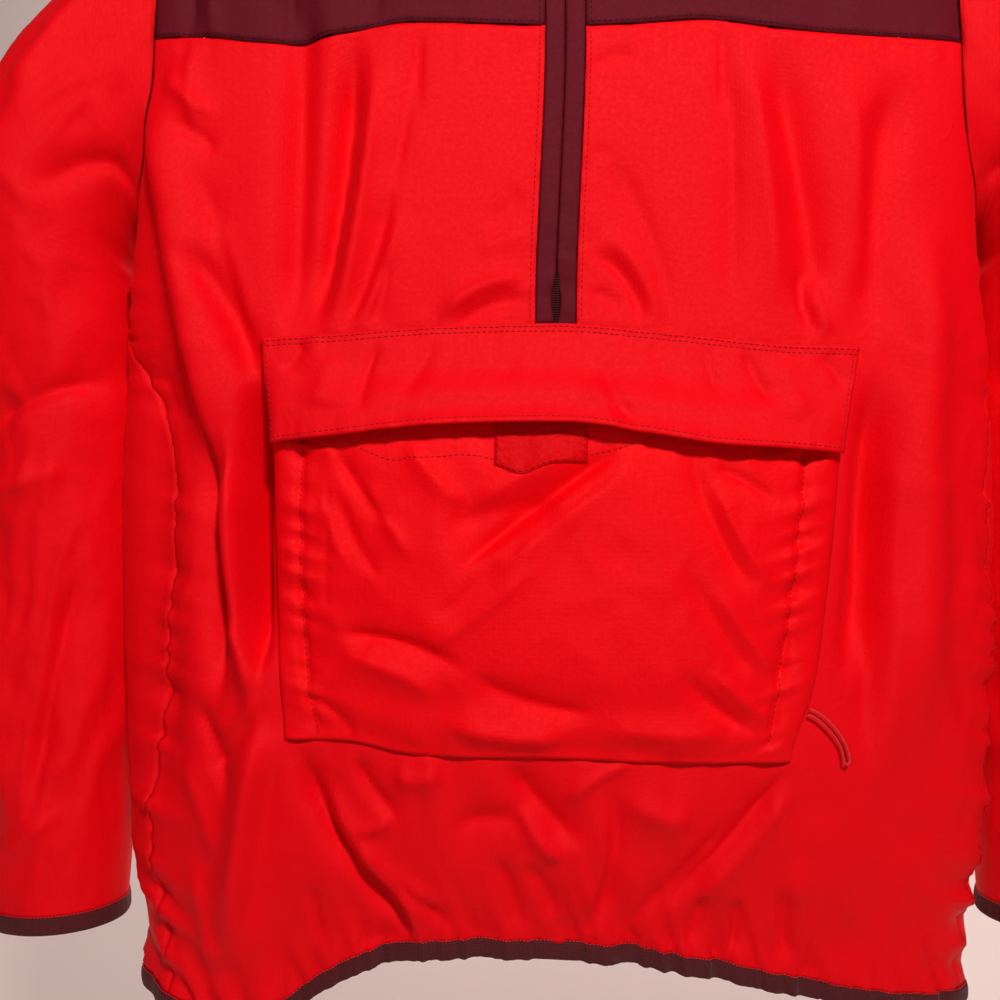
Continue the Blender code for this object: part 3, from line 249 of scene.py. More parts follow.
POCKET_CREASES = (
    ("slash",            (-0.058, 0.214), (0.036, 0.285),  -0.002, -0.0072, 0.011, 0.0030),
    ("slash_lit",        (-0.040, 0.210), (0.044, 0.276),  -0.002,  0.0030, 0.004, 0.012),
    ("swag_left",        (-0.050, 0.250), (-0.084, 0.288), -0.002,  0.0036, 0.010, 0.0045),
    ("swag_right",       (-0.050, 0.249), (0.012, 0.280),  -0.004,  0.0034, 0.0045, 0.010),
    ("swag_hollow",      (-0.066, 0.236), (0.000, 0.252),  -0.006, -0.0042, 0.010, 0.010),
    ("left_dark",        (-0.088, 0.240), (-0.122, 0.285), -0.003, -0.0034, 0.006, 0.005),
    ("left_lit",         (-0.077, 0.222), (-0.106, 0.268), -0.002,  0.0026, 0.005, 0.005),
    ("left_dark_two",    (-0.096, 0.212), (-0.121, 0.260), -0.002, -0.0030, 0.006, 0.005),
    ("left_lit_two",     (-0.112, 0.216), (-0.130, 0.262), -0.002,  0.0020, 0.005, 0.005),
    ("right_dark",       (0.104, 0.202),  (0.068, 0.284),  -0.005, -0.0036, 0.006, 0.006),
    ("right_dark_slip",  (0.118, 0.253),  (0.080, 0.274),   0.002, -0.0028, 0.005, 0.003),
    ("right_lit",        (0.114, 0.206),  (0.080, 0.266),  -0.003,  0.0030, 0.005, 0.006),
    ("right_dark_low",   (0.106, 0.156),  (0.062, 0.222),  -0.002, -0.0030, 0.005, 0.006),
    ("right_lit_low",    (0.116, 0.160),  (0.080, 0.210),  -0.002,  0.0022, 0.004, 0.005),
    ("left_shelf",       (-0.122, 0.184), (-0.050, 0.164), -0.006, -0.0052, 0.004, 0.008),
    ("left_shelf_lit",   (-0.118, 0.172), (-0.062, 0.148), -0.004,  0.0042, 0.007, 0.007),
    ("mid_shelf",        (-0.052, 0.165), (0.022, 0.142),   0.006, -0.0044, 0.005, 0.008),
    ("mid_sag",          (-0.064, 0.136), (0.006, 0.128),   0.003,  0.0048, 0.008, 0.008),
    ("right_sag",        (0.020, 0.134),  (0.090, 0.130),   0.002,  0.0030, 0.008, 0.007),
    ("right_shelf",      (0.060, 0.166),  (0.108, 0.128),   0.003, -0.0036, 0.005, 0.005),
    ("right_shelf_lit",  (0.078, 0.166),  (0.114, 0.136),   0.002,  0.0028, 0.004, 0.005),
    ("long_lit",         (-0.076, 0.172), (-0.012, 0.222),  0.002,  0.0026, 0.008, 0.006),
    ("long_dark",        (-0.070, 0.190), (-0.030, 0.226),  0.002, -0.0018, 0.005, 0.006),
    ("press_line",       (-0.126, 0.190), (-0.126, 0.276),  0.000, -0.0008, 0.0016, 0.0016),
    ("corner_left",      (-0.140, 0.150), (-0.112, 0.128), -0.004, -0.0034, 0.006, 0.005),
)
FLAP_CREASES = (
    ("corner",           (-0.153, 0.326), (-0.142, 0.344),  0.001, -0.0022, 0.0030, 0.0060),
    ("left_curve",       (-0.107, 0.300), (-0.098, 0.345), -0.003, -0.0022, 0.004, 0.003),
    ("left_notch",       (-0.088, 0.291), (-0.088, 0.306),  0.000, -0.0006, 0.0030, 0.0040),
    ("left_slant",       (-0.086, 0.308), (-0.066, 0.346),  0.000, -0.0016, 0.005, 0.004),
    ("left_puff",        (-0.134, 0.305), (-0.126, 0.336),  0.001,  0.0020, 0.008, 0.010),
    ("middle_left",      (-0.030, 0.318), (-0.022, 0.346),  0.000, -0.0010, 0.004, 0.004),
    ("middle_right",     (0.042, 0.290),  (0.023, 0.332),  -0.003, -0.0020, 0.004, 0.003),
    ("middle_lit",       (0.034, 0.288),  (0.016, 0.322),  -0.003,  0.0014, 0.004, 0.004),
    ("right_first",      (0.058, 0.318),  (0.049, 0.344),   0.000, -0.0014, 0.003, 0.004),
    ("right_second",     (0.084, 0.312),  (0.079, 0.342),   0.000, -0.0020, 0.003, 0.004),
    ("right_third",      (0.117, 0.306),  (0.101, 0.340),  -0.002, -0.0024, 0.005, 0.004),
    ("right_puff",       (0.134, 0.300),  (0.122, 0.334),  -0.002,  0.0020, 0.008, 0.008),
    ("right_corner",     (0.158, 0.316),  (0.142, 0.336),   0.002, -0.0022, 0.004, 0.004),
)
YOKE_CREASES = (
    ("left_dark",        (-0.152, 0.512), (-0.150, 0.600),  0.002, -0.0060, 0.008, 0.005),
    ("left_second",      (-0.104, 0.516), (-0.096, 0.585),  0.000, -0.0040, 0.008, 0.004),
    ("far_left_dark",    (-0.207, 0.510), (-0.212, 0.590),  0.002, -0.0060, 0.007, 0.006),
    ("far_left_lit",     (-0.194, 0.510), (-0.196, 0.580),  0.000,  0.0040, 0.006, 0.006),
    ("press_left_a",     (-0.078, 0.520), (-0.077, 0.640),  0.000, -0.0012, 0.0018, 0.0018),
    ("press_left_b",     (-0.069, 0.520), (-0.068, 0.630),  0.000, -0.0010, 0.0016, 0.0016),
    ("press_right_a",    (0.080, 0.522),  (0.079, 0.640),   0.000, -0.0012, 0.0018, 0.0018),
    ("press_right_b",    (0.090, 0.522),  (0.089, 0.640),   0.000, -0.0012, 0.0018, 0.0018),
    ("right_soft",       (0.150, 0.515),  (0.140, 0.620),   0.002, -0.0040, 0.010, 0.008),
    ("shoulder_left",    (-0.186, 0.560), (-0.120, 0.660),  0.004,  0.0030, 0.008, 0.010),
    ("shoulder_right",   (0.190, 0.560),  (0.128, 0.655),  -0.004,  0.0030, 0.010, 0.008),
    ("neck_left",        (-0.100, 0.600), (-0.072, 0.680),  0.003, -0.0020, 0.006, 0.006),
    ("neck_right",       (0.104, 0.600),  (0.074, 0.680),  -0.003, -0.0020, 0.006, 0.006),
)
# On the back the first number is the distance from centre back.
BACK_CREASES = (
    ("long_left",        (-0.150, 0.020), (-0.108, 0.300),  0.010, -0.0040, 0.010, 0.005),
    ("long_left_lit",    (-0.132, 0.030), (-0.096, 0.330),  0.008,  0.0030, 0.006, 0.009),
    ("long_middle",      (-0.034, 0.010), (-0.012, 0.260), -0.006, -0.0036, 0.006, 0.010),
    ("long_middle_lit",  (0.038, 0.020),  (0.032, 0.300),   0.006,  0.0032, 0.008, 0.006),
    ("long_right",       (0.120, 0.010),  (0.096, 0.330),  -0.008, -0.0040, 0.006, 0.010),
    ("long_right_lit",   (0.150, 0.020),  (0.120, 0.300),  -0.006,  0.0034, 0.008, 0.006),
    ("blade_left",       (-0.170, 0.380), (-0.060, 0.500),  0.012, -0.0034, 0.006, 0.012),
    ("blade_right",      (0.176, 0.370),  (0.064, 0.498),  -0.012, -0.0034, 0.012, 0.006),
    ("blade_left_low",   (-0.196, 0.330), (-0.110, 0.430),  0.010,  0.0030, 0.010, 0.006),
    ("blade_right_low",  (0.198, 0.335),  (0.116, 0.440),  -0.010,  0.0030, 0.006, 0.010),
    ("waist_left",       (-0.120, 0.170), (-0.050, 0.150),  0.004, -0.0024, 0.006, 0.010),
    ("waist_right",      (0.060, 0.190),  (0.140, 0.160),  -0.004, -0.0024, 0.006, 0.010),
    ("seat_slant",       (-0.080, 0.060), (0.020, 0.110),   0.006,  0.0022, 0.008, 0.008),
    ("yoke_middle",      (-0.010, 0.510), (-0.006, 0.640),  0.002, -0.0024, 0.010, 0.010),
    ("yoke_left",        (-0.120, 0.510), (-0.090, 0.640),  0.004, -0.0034, 0.010, 0.008),
    ("yoke_right",       (0.124, 0.510),  (0.096, 0.630),  -0.004, -0.0034, 0.008, 0.010),
)
# On a sleeve: distance round from the underarm towards the front, and distance down from the
# armhole.
SLEEVE_CREASES = (
    ("underarm_fan_a",   (0.010, 0.030), (0.075, 0.150),  0.006, -0.0050, 0.006, 0.010),
    ("underarm_fan_b",   (0.330, 0.030), (0.260, 0.160), -0.006, -0.0050, 0.010, 0.006),
    ("cap_front",        (0.120, 0.010), (0.100, 0.120),  0.004,  0.0034, 0.010, 0.008),
    ("cap_outer",        (0.185, 0.020), (0.175, 0.170), -0.004, -0.0040, 0.008, 0.012),
    ("cap_back",         (0.235, 0.010), (0.255, 0.130),  0.004,  0.0030, 0.010, 0.008),
    ("elbow_a",          (0.030, 0.250), (0.130, 0.285),  0.006, -0.0048, 0.006, 0.012),
    ("elbow_b",          (0.060, 0.300), (0.170, 0.318), -0.006,  0.0040, 0.008, 0.008),
    ("elbow_c",          (0.240, 0.240), (0.330, 0.290),  0.008, -0.0044, 0.010, 0.006),
    ("elbow_d",          (0.200, 0.330), (0.300, 0.310),  0.006,  0.0036, 0.008, 0.008),
    ("forearm_a",        (0.050, 0.350), (0.085, 0.500),  0.006, -0.0046, 0.010, 0.006),
    ("forearm_b",        (0.120, 0.340), (0.110, 0.520), -0.006,  0.0036, 0.008, 0.010),
    ("forearm_c",        (0.190, 0.360), (0.205, 0.540),  0.004, -0.0044, 0.012, 0.006),
    ("forearm_d",        (0.270, 0.350), (0.250, 0.530),  0.006, -0.0040, 0.006, 0.010),
    ("wrist_a",          (0.060, 0.500), (0.130, 0.545),  0.004,  0.0030, 0.006, 0.006),
    ("wrist_b",          (0.170, 0.520), (0.240, 0.500), -0.004, -0.0032, 0.006, 0.006),
)
# The short creases along a seam: how far apart, how deep, how long, which set of chances, and
# how far they lean for each metre off the seam.
PUCKERS = {
    # name               apart   deep    long   set   lean
    "front_yoke_seam": (0.0085, 0.0011, 0.016, 11,  0.0),
    "back_yoke_seam":  (0.0090, 0.0012, 0.018, 67,  0.0),
    "yoke_foot":       (0.0080, 0.0010, 0.012, 11,  0.0),
    "zip_edge":        (0.0085, 0.0009, 0.010, 41,  0.4),
    "above_flap":      (0.0075, 0.0010, 0.014, 17,  0.0),
    "below_pocket":    (0.0110, 0.0012, 0.014, 31,  0.0),
    "side_seam":       (0.0082, 0.0042, 0.017, 37,  0.25),
    "front_hem":       (0.0092, 0.0052, 0.032, 23,  0.35),
    "front_hem_fine":  (0.0058, 0.0032, 0.012, 29,  0.0),
    "back_hem":        (0.0092, 0.0052, 0.032, 71, -0.3),
    "armhole":         (0.0100, 0.0016, 0.014, 97,  0.0),
    "cuff":            (0.0080, 0.0030, 0.022, 101, 0.2),
    "collar":          (0.0100, 0.0012, 0.014, 127, 0.0),
    "pocket_side":     (0.0090, 0.0034, 0.013, 149, 0.3),
    "pocket_foot":     (0.0100, 0.0020, 0.012, 151, 0.0),
    "pocket_mouth":    (0.0100, 0.0016, 0.030, 157, 0.0),
    "flap_seam":       (0.0075, 0.0011, 0.016, 163, 0.0),
    "flap_edge":       (0.0060, 0.0008, 0.010, 167, 0.0),
}


# ---------------------------------------------------------------- number helpers
def smooth_step(t):
    """0 up to 0 and 1 from 1, with a soft ramp between."""
    t = np.clip(t, 0, 1)
    return t * t * (3 - 2 * t)


def smooth_table(table, column, at, key):
    """The column of a table at these places, on a smooth curve through its rows."""
    x, y = np.array(table[key], float), np.array(table[column], float)
    chord = np.diff(y) / np.diff(x)
    slope = np.concatenate([[chord[0]], (chord[1:] + chord[:-1]) / 2, [chord[-1]]])
    turns = np.concatenate([[False], chord[1:] * chord[:-1] <= 0, [False]])
    slope[turns] = 0
    at = np.clip(at, x[0], x[-1])
    k = np.clip(np.searchsorted(x, at) - 1, 0, len(x) - 2)
    step = x[k + 1] - x[k]
    t = (at - x[k]) / step
    h = smooth_step(t)
    bend = t * (1 - t) * step
    return y[k] * (1 - h) + y[k + 1] * h + bend * (slope[k] * (1 - t) - slope[k + 1] * t)


def line_at(name, girth):
    """Height of a sewn line, such as the hem, at this girth."""
    return smooth_table(LEVELS, name, girth, "girth")


def edge_at(name, height):
    """Girth of a line of the front, such as the pouch's left edge, at this height."""
    return smooth_table(FRONT_LINES, name, height, "height")


def chance(number, seed):
    """A fixed value from -1 to 1 for each whole number."""
    wave = np.sin(number * 12.9898 + seed * 78.233) * 43758.5453
    return 2 * (wave - np.floor(wave)) - 1


def lumps(along, seed):
    """Smooth uneven waves, one for each unit along, from -1 to 1."""
    low = np.floor(along)
    share = smooth_step(along - low)
    return chance(low, seed) * (1 - share) + chance(low + 1, seed) * share


def clouds(u, v, size, seed):
    """Smooth uneven patches of this size, from -1 to 1."""
    u, v = u / size, v / size
    i, j = np.floor(u), np.floor(v)
    a, b = smooth_step(u - i), smooth_step(v - j)
    low = chance(i + 57.0 * j, seed) * (1 - a) + chance(i + 1 + 57.0 * j, seed) * a
    high = chance(i + 57.0 * (j + 1), seed) * (1 - a) + chance(i + 1 + 57.0 * (j + 1), seed) * a
    return low * (1 - b) + high * b


def crumple(u, v, seed=3, tall=1.0):
    """Uneven soft crinkles of a thin crisp cloth, about -1 to 1; tall draws them out upwards."""
    bent_u = u + 0.012 * clouds(u, v, 0.045, seed + 5)
    bent_v = (v + 0.012 * clouds(u, v, 0.040, seed + 6)) / tall
    wide = np.abs(clouds(bent_u + 0.4 * bent_v, bent_v * 0.8, 0.030, seed)) - 0.35
    fine = np.abs(clouds(bent_u - 0.5 * bent_v, bent_v * 0.8, 0.014, seed + 1)) - 0.35
    return -(wide + 0.30 * fine)


def seam_girth(u, v, back):
    """Girth of the side seam on the same side as each place."""
    side = np.where(u < 0, -1.0, 1.0)
    return column_girth(side, np.full(u.shape, float(SIDE_COLUMN)), v, back)


def seam_hush(u, v, back):
    """0 on the side seam, 1 a little way off it, so both panels meet along one line."""
    return smooth_step((np.abs(u - seam_girth(u, v, back)) - 0.001) / 0.012)


def puckers(along, off, seam, shift=0):
    """Short uneven creases that run away from a seam: places along it and distances off it."""
    spacing, depth, reach, seed, slant = PUCKERS[seam]
    seed = seed + shift
    spot = (along + slant * off) / spacing
    strength = lumps(spot, seed) + 0.5 * lumps(spot * 2.3, seed + 3)
    length = reach * (0.35 + 0.65 * (lumps(spot * 0.61, seed + 1) + 1) / 2)
    return depth * strength * np.exp(-np.abs(off) / length)


def beside(start, end, bow, u, v):
    """Places beside a bowed line: distance along it, share of it, distance across it, overrun."""
    along = np.array(end) - np.array(start)
    length = np.hypot(*along)
    along /= length
    t = ((u - start[0]) * along[0] + (v - start[1]) * along[1]) / length
    inside = np.clip(t, 0, 1)
    across = (u - start[0]) * along[1] - (v - start[1]) * along[0]
    across = across - bow * 4 * inside * (1 - inside)
    return t * length, inside, across, (t - inside) * length


def crease_rise(creases, u, v, sharp=0.2):
    """How far the creases lift the cloth here; their crests are sharper than the big folds'."""
    total = np.zeros(np.broadcast(u, v).shape)
    for start, end, bow, rise, left, right in (crease[1:] for crease in creases):
        run, inside, across, beyond = beside(start, end, bow, u, v)
        wander = 1 + 0.25 * lumps(run / 0.03, rise * 9000)
        width = np.where(across < 0, left, right) * wander
        crest = np.exp(sharp - np.sqrt((across / width) ** 2 + sharp ** 2) * 1.25)
        taper = smooth_step((inside + 0.02) / 0.3) * smooth_step((1.02 - inside) / 0.3)
        total += rise * taper * crest * np.exp(-(beyond / 0.012) ** 2)
    return total


# ---------------------------------------------------------------- the body's form
RING_HEIGHTS = np.linspace(-0.05, 0.72, 90)
RING_POINTS = 361


def ring_tables():
    """Each height's section by girth: (girth, x, y) from centre front to centre back."""
    angle = np.linspace(0, math.pi, RING_POINTS)
    rings = []
    for height in RING_HEIGHTS:
        wide, front, back, square = (
            float(smooth_table(SECTIONS, name, height, "height"))
            for name in ("half_width", "front", "back", "square"))
        s, c = np.sin(angle), np.cos(angle)
        x = wide * np.abs(s) ** (2 / square)
        y = -np.where(c > 0, front, back) * np.sign(c) * np.abs(c) ** (2 / square)
        girth = np.concatenate([[0], np.cumsum(np.hypot(np.diff(x), np.diff(y)))])
        rings.append((girth, x, y))
    return rings


RINGS = ring_tables()
SIDE_GIRTH = np.array([np.interp(0.5, np.linspace(0, 1, RING_POINTS), ring[0]) for ring in RINGS])
HALF_GIRTH = np.array([ring[0][-1] for ring in RINGS])


def half_girth(height):
    return np.interp(height, RING_HEIGHTS, HALF_GIRTH)


def shoulder_height(x):
    return NECK_TOP - SHOULDER_SLOPE * (np.maximum(np.abs(x), NECK_HALF) - NECK_HALF)


def smooth_point(girth, height):
    """The body's form without its folds: (x, y)."""
    girth, height = np.broadcast_arrays(np.asarray(girth, float), np.asarray(height, float))
    side = np.where(girth < 0, -1.0, 1.0)
    step = RING_HEIGHTS[1] - RING_HEIGHTS[0]
    place = np.clip((height - RING_HEIGHTS[0]) / step, 0, len(RING_HEIGHTS) - 1.001)
    low = place.astype(int)
    share = place - low
    x, y = np.zeros(girth.shape), np.zeros(girth.shape)
    for k in np.unique(low):
        here = low == k
        g, t = np.abs(girth[here]), share[here]
        for ring, weight in ((RINGS[k], 1 - t), (RINGS[k + 1], t)):
            x[here] += weight * np.interp(g, ring[0], ring[1])
            y[here] += weight * np.interp(g, ring[0], ring[2])
    over = np.clip((height - SHOULDER_ROUND) / (shoulder_height(x) - SHOULDER_ROUND), 0, 1)
    return side * x, y * np.sqrt(np.maximum(1 - over ** 3, 0))


def fold_rise(folds, u, v):
    """How far the folds lift the cloth at these (girth, height) places."""
    total = np.zeros(np.broadcast(u, v).shape)
    for start, end, bow, rise, left, right in (fold[1:] for fold in folds):
        _, inside, across, beyond = beside(start, end, bow, u, v)
        width = np.where(across < 0, left, right)
        taper = smooth_step(inside / 0.25) * smooth_step((1 - inside) / 0.25)
        total += rise * taper * np.exp(-(across / width) ** 2 - (beyond / 0.02) ** 2)
    return total


def around_back(girth, height):
    """Distance from centre back, + to the right as seen from the front."""
    return np.where(girth < 0, -1.0, 1.0) * (half_girth(height) - np.abs(girth))


def body_normal(girth, height, reach=0.005):
    """Outward direction of the unfolded form."""
    ends = []
    for dg, dh in ((-reach, 0), (reach, 0), (0, -reach), (0, reach)):
        x, y = smooth_point(girth + dg, height + dh)
        ends.append(np.stack([x, y, height + dh], -1))
    normal = np.cross(ends[1] - ends[0], ends[3] - ends[2])
    normal /= np.maximum(np.linalg.norm(normal, axis=-1, keepdims=True), 1e-9)
    x, _ = smooth_point(girth, height)
    over = (height - SHOULDER_ROUND) / (shoulder_height(x) - SHOULDER_ROUND)
    top = smooth_step((over - 0.88) / 0.12)[..., None]
    slope = np.where(np.abs(x) > NECK_HALF, np.sign(x) * SHOULDER_SLOPE, 0.0)
    crest = np.stack([slope, np.zeros_like(x), np.ones_like(x)], -1)
    normal = normal * (1 - top) + top * crest / np.linalg.norm(crest, axis=-1, keepdims=True)
    return normal / np.linalg.norm(normal, axis=-1, keepdims=True)


def body_point(girth, height):
    """(point, outward direction) on the hung cloth."""
    girth, height = np.broadcast_arrays(np.asarray(girth, float), np.asarray(height, float))
    x, y = smooth_point(girth, height)
    normal = body_normal(girth, height)
    rise = fold_rise(FRONT_FOLDS, girth, height)
    rise += fold_rise(BACK_FOLDS, around_back(girth, height), height)
    rise *= 1 - smooth_step((height - 0.56) / 0.06)
    return np.stack([x, y, height], -1) + normal * rise[..., None], normal


# ---------------------------------------------------------------- where the panels are cut
def line_height(level, girth):
    """Height of a level, 0 at the hem to 4 at the yoke seam, at this girth."""
    heights = np.stack([line_at(name, girth) for name in LINES])
    k = np.clip(np.floor(level).astype(int), 0, len(LINES) - 2)
    low = np.take_along_axis(heights, k[None], 0)[0]
    high = np.take_along_axis(heights, k[None] + 1, 0)[0]
    return low + (level - k) * (high - low)


def side_seam(side, height, back):
    """Girth of the side seam, and above the underarm of the armhole's edge on this half."""
    shift = np.where(side < 0, edge_at("left_shift", height),
                     edge_at("right_shift", height))
    middle = np.interp(height, RING_HEIGHTS, SIDE_GIRTH)
    base = line_height(np.full(np.shape(height), UNDERARM_LEVEL), middle)
    shift = shift * smooth_step((base - height) / 0.15)
    up = np.clip((height - base) / ARMHOLE_RISE, 0, 1)
    half = ARMHOLE_HALF * np.sqrt(1 - (1 - up) ** 2)
    return middle - shift + (half if back else -half)


def column_girth(side, column, height, back):
    """Girth of a column: 0 is the zip's edge or centre back, SIDE_COLUMN the side seam."""
    if back:
        whole = half_girth(height)
        stops = (whole, whole - 0.079, whole - 0.162, side_seam(side, height, True))
    else:
        edge = np.where(side < 0, edge_at("left_edge", height),
                        edge_at("right_edge", height))
        neck = 0.081 - 0.006 * smooth_step((height - 0.50) / 0.15)
        stops = (SLIT_HALF + side * edge_at("zip_lean", height),
                 neck, edge, side_seam(side, height, False))
    stops = np.stack(stops)
    at = np.array((0, NECK_COLUMN, EDGE_COLUMN, SIDE_COLUMN))
    k = np.clip(np.searchsorted(at, column, side="right") - 1, 0, 2)
    low = np.take_along_axis(stops, k[None], 0)[0]
    high = np.take_along_axis(stops, k[None] + 1, 0)[0]
    return side * (low + (column - at[k]) / (at[k + 1] - at[k]) * (high - low))


SLIT_SPAN = 0.4      # signed columns from -SLIT_SPAN to SLIT_SPAN lie between the zip's edges


def signed_girth(place, height, back):
    """Girth of a signed column; on the front the zip's own width lies between the two halves."""
    side = np.where(place < 0, -1.0, 1.0)
    if back:
        return column_girth(side, np.abs(place), height, True)
    column = np.maximum(np.abs(place) - SLIT_SPAN, 0)
    girth = column_girth(side, column, height, False)
    zero = np.zeros_like(column)
    left = column_girth(zero - 1, zero, height, False)
    right = column_girth(zero + 1, zero, height, False)
    share = (place + SLIT_SPAN) / (2 * SLIT_SPAN)
    return np.where(np.abs(place) < SLIT_SPAN, left + share * (right - left), girth)


def top_height(column, back):
    """Height of the panel's top edge: neckline, then shoulder seam."""
    low = BACK_NECK if back else FRONT_NECK
    share = np.clip(column / NECK_COLUMN, 0, 1)
    neck = low + (NECK_TOP - low) * (1 - np.maximum(1 - share ** 1.6, 0) ** 0.8)
    out = (column - NECK_COLUMN) / (SIDE_COLUMN - NECK_COLUMN)
    slope = NECK_TOP - SHOULDER_SLOPE * out * (SHOULDER_TIP - NECK_HALF)
    return np.where(column < NECK_COLUMN, neck, slope)


def places(signed, level, back=False):
    """(girth, height) where signed columns meet levels."""
    signed, level = np.broadcast_arrays(np.asarray(signed, float), np.asarray(level, float))
    column = np.abs(signed) if back else np.maximum(np.abs(signed) - SLIT_SPAN, 0)
    height = np.full(signed.shape, 0.3)
    for _ in range(9):
        girth = signed_girth(signed, height, back)
        height = line_height(np.minimum(level, 4.0), girth)
        share = np.clip(level - 4, 0, 1)
        height = height + share * (top_height(column, back) - height)
    return girth, height


def hem_sag(girth, height):
    """The hem drops lowest left of centre and lifts again at that side."""
    drop = -0.016 * np.exp(-((girth + 0.180) / 0.042) ** 2)
    lift = 0.012 * np.exp(-((girth + 0.265) / 0.035) ** 2)
    return (drop + lift) * smooth_step((0.10 - height) / 0.10)


def panel_points(signed, level, back=False):
    """(girth, height, points, outward directions) of a panel's grid on the big folds."""
    girth, height = places(signed, level, back)
    points, normals = body_point(girth, height)
    column = np.abs(signed) if back else np.maximum(np.abs(signed) - SLIT_SPAN, 0)
    out = (column - NECK_COLUMN) / (SIDE_COLUMN - NECK_COLUMN)
    side = np.where(signed < 0, -1.0, 1.0)
    crest = np.stack([side * (NECK_HALF + out * (SHOULDER_TIP - NECK_HALF)),
                      np.zeros_like(out), height], -1)
    near = (smooth_step((level - 4.9) / 0.1) * (column >= NECK_COLUMN - 0.001))[..., None]
    points = points * (1 - near) + crest * near
    points[..., 2] += hem_sag(girth, height)
    return girth, height, points, normals


# ---------------------------------------------------------------- materials
class Finish:
    """A material in the making: its nodes, its links and its shader."""

    def __init__(self, name, **settings):
        self.material = bpy.data.materials.new(name)
        self.material.use_nodes = True
        tree = self.material.node_tree
        self.nodes, self.links = tree.nodes, tree.links
        self.shader = self.nodes["Principled BSDF"]
        for socket, value in settings.items():
            self.shader.inputs[socket.replace("_", " ")].default_value = value

    def join(self, output, socket):
        """Leads an output into one of the shader's sockets."""
        self.links.new(output, self.shader.inputs[socket])

    def maths(self, kind, first, second=None):
        """One step of arithmetic on numbers and outputs."""
        node = self.nodes.new("ShaderNodeMath")
        node.operation = kind
        for socket, value in zip(node.inputs, (first, second)):
            if isinstance(value, (int, float)):
                socket.default_value = value
            elif value is not None:
                self.links.new(value, socket)
        return node.outputs[0]

    def noise(self, place, scale, detail=4.0, roughness=0.6, distortion=0.0):
        """Uneven patches, about this many to the metre."""
        node = self.nodes.new("ShaderNodeTexNoise")
        node.inputs["Scale"].default_value = scale
        node.inputs["Detail"].default_value = detail
        node.inputs["Roughness"].default_value = roughness
        node.inputs["Distortion"].default_value = distortion
        self.links.new(place, node.inputs["Vector"])
        return node.outputs["Fac"]

    def bump(self, height, distance, strength, before=None):
        """Fine relief, on top of the relief before it."""
        node = self.nodes.new("ShaderNodeBump")
        node.inputs["Distance"].default_value = distance
        node.inputs["Strength"].default_value = strength
        self.links.new(height, node.inputs["Height"])
        if before is not None:
            self.links.new(before, node.inputs["Normal"])
        return node.outputs["Normal"]

    def ripple(self, place, pitch):
        """A wave of this pitch along one direction."""
        return self.maths("SINE", self.maths("MULTIPLY", place, 2 * math.pi / pitch))

    def off_middle(self, value):
        """How far a noise lies from its middle, which draws it as sharp ridges."""
        return self.maths("ABSOLUTE", self.maths("SUBTRACT", value, 0.5))

    def scaled(self, base, value, by):
        """The base plus so much of a value."""
        return self.maths("ADD", base, self.maths("MULTIPLY", value, by))

    def colour(self, low, high, share):
        """A base colour that runs from low to high with the share."""
        tone = self.nodes.new("ShaderNodeMix")
        tone.data_type = "RGBA"
        tone.inputs["A"].default_value = (*low, 1)
        tone.inputs["B"].default_value = (*high, 1)
        self.links.new(share, tone.inputs["Factor"])
        self.join(tone.outputs["Result"], "Base Color")

    def cloth_place(self):
        """The piece's own cloth coordinates, in metres: both together, then one by one."""
        place, split = self.nodes.new("ShaderNodeUVMap"), self.nodes.new("ShaderNodeSeparateXYZ")
        place.uv_map = "cloth"
        self.links.new(place.outputs["UV"], split.inputs[0])
        return place.outputs["UV"], split.outputs["X"], split.outputs["Y"]

    def solid_place(self):
        """Coordinates fixed in the object, in metres."""
        return self.nodes.new("ShaderNodeTexCoord").outputs["Object"]


def shell_cloth(name, colour, deep, roughness, sheen, crinkle=1.0, gloss=0.08):
    """Thin tight-weave shell cloth: a fine thread grid, crinkles and a soft sheen."""
    made = Finish(name, Sheen_Weight=sheen, Sheen_Roughness=0.35,
                  Sheen_Tint=(1.0, 0.35, 0.32, 1), Specular_IOR_Level=gloss)
    place, *directions = made.cloth_place()
    threads = []
    for direction in directions:
        wave = made.maths("ABSOLUTE", made.ripple(direction, WEAVE_PITCH))
        threads.append(made.maths("POWER", wave, 4.0))
    weave = made.maths("MULTIPLY", made.maths("MAXIMUM", *threads), made.noise(place, 380.0, 2.0))
    wide = made.noise(place, 52.0, 5.0, 0.62, 0.9)
    small = made.noise(place, 170.0, 4.0, 0.6, 1.4)
    normal = made.bump(made.off_middle(wide), 0.0013 * crinkle, 0.5)
    normal = made.bump(made.off_middle(small), 0.0004 * crinkle, 0.5, normal)
    made.join(made.bump(weave, 0.00020, 0.8, normal), "Normal")
    patch = made.maths("MULTIPLY", made.noise(place, 14.0, 3.0), 0.6)
    made.colour(deep, colour, made.scaled(patch, weave, 0.9))
    made.join(made.scaled(roughness - 0.06, wide, 0.12), "Roughness")
    return made.material


def elastic_cloth(name, colour):
    """Ribbed elastic binding."""
    made = Finish(name, Roughness=0.7, Sheen_Weight=0.08, Specular_IOR_Level=0.2)
    place, along, down = made.cloth_place()
    knit = made.scaled(made.ripple(down, RIB_PITCH), made.ripple(along, KNIT_PITCH), 0.6)
    fuzz = made.noise(place, 900.0, 3.0)
    normal = made.bump(knit, 0.00018, 0.7)
    made.join(made.bump(fuzz, 0.0003, 0.5, normal), "Normal")
    made.colour([c * 0.62 for c in colour], [c * 1.25 for c in colour], fuzz)
    return made.material


def thread(name, colour, gloss=0.2):
    """Twisted thread, braid, nylon or nap: one colour, a little uneven."""
    made = Finish(name, Roughness=0.6, Specular_IOR_Level=gloss)
    made.colour([c * 0.7 for c in colour], [min(c * 1.3, 1) for c in colour],
                made.noise(made.solid_place(), 700.0, 2.0))
    return made.material


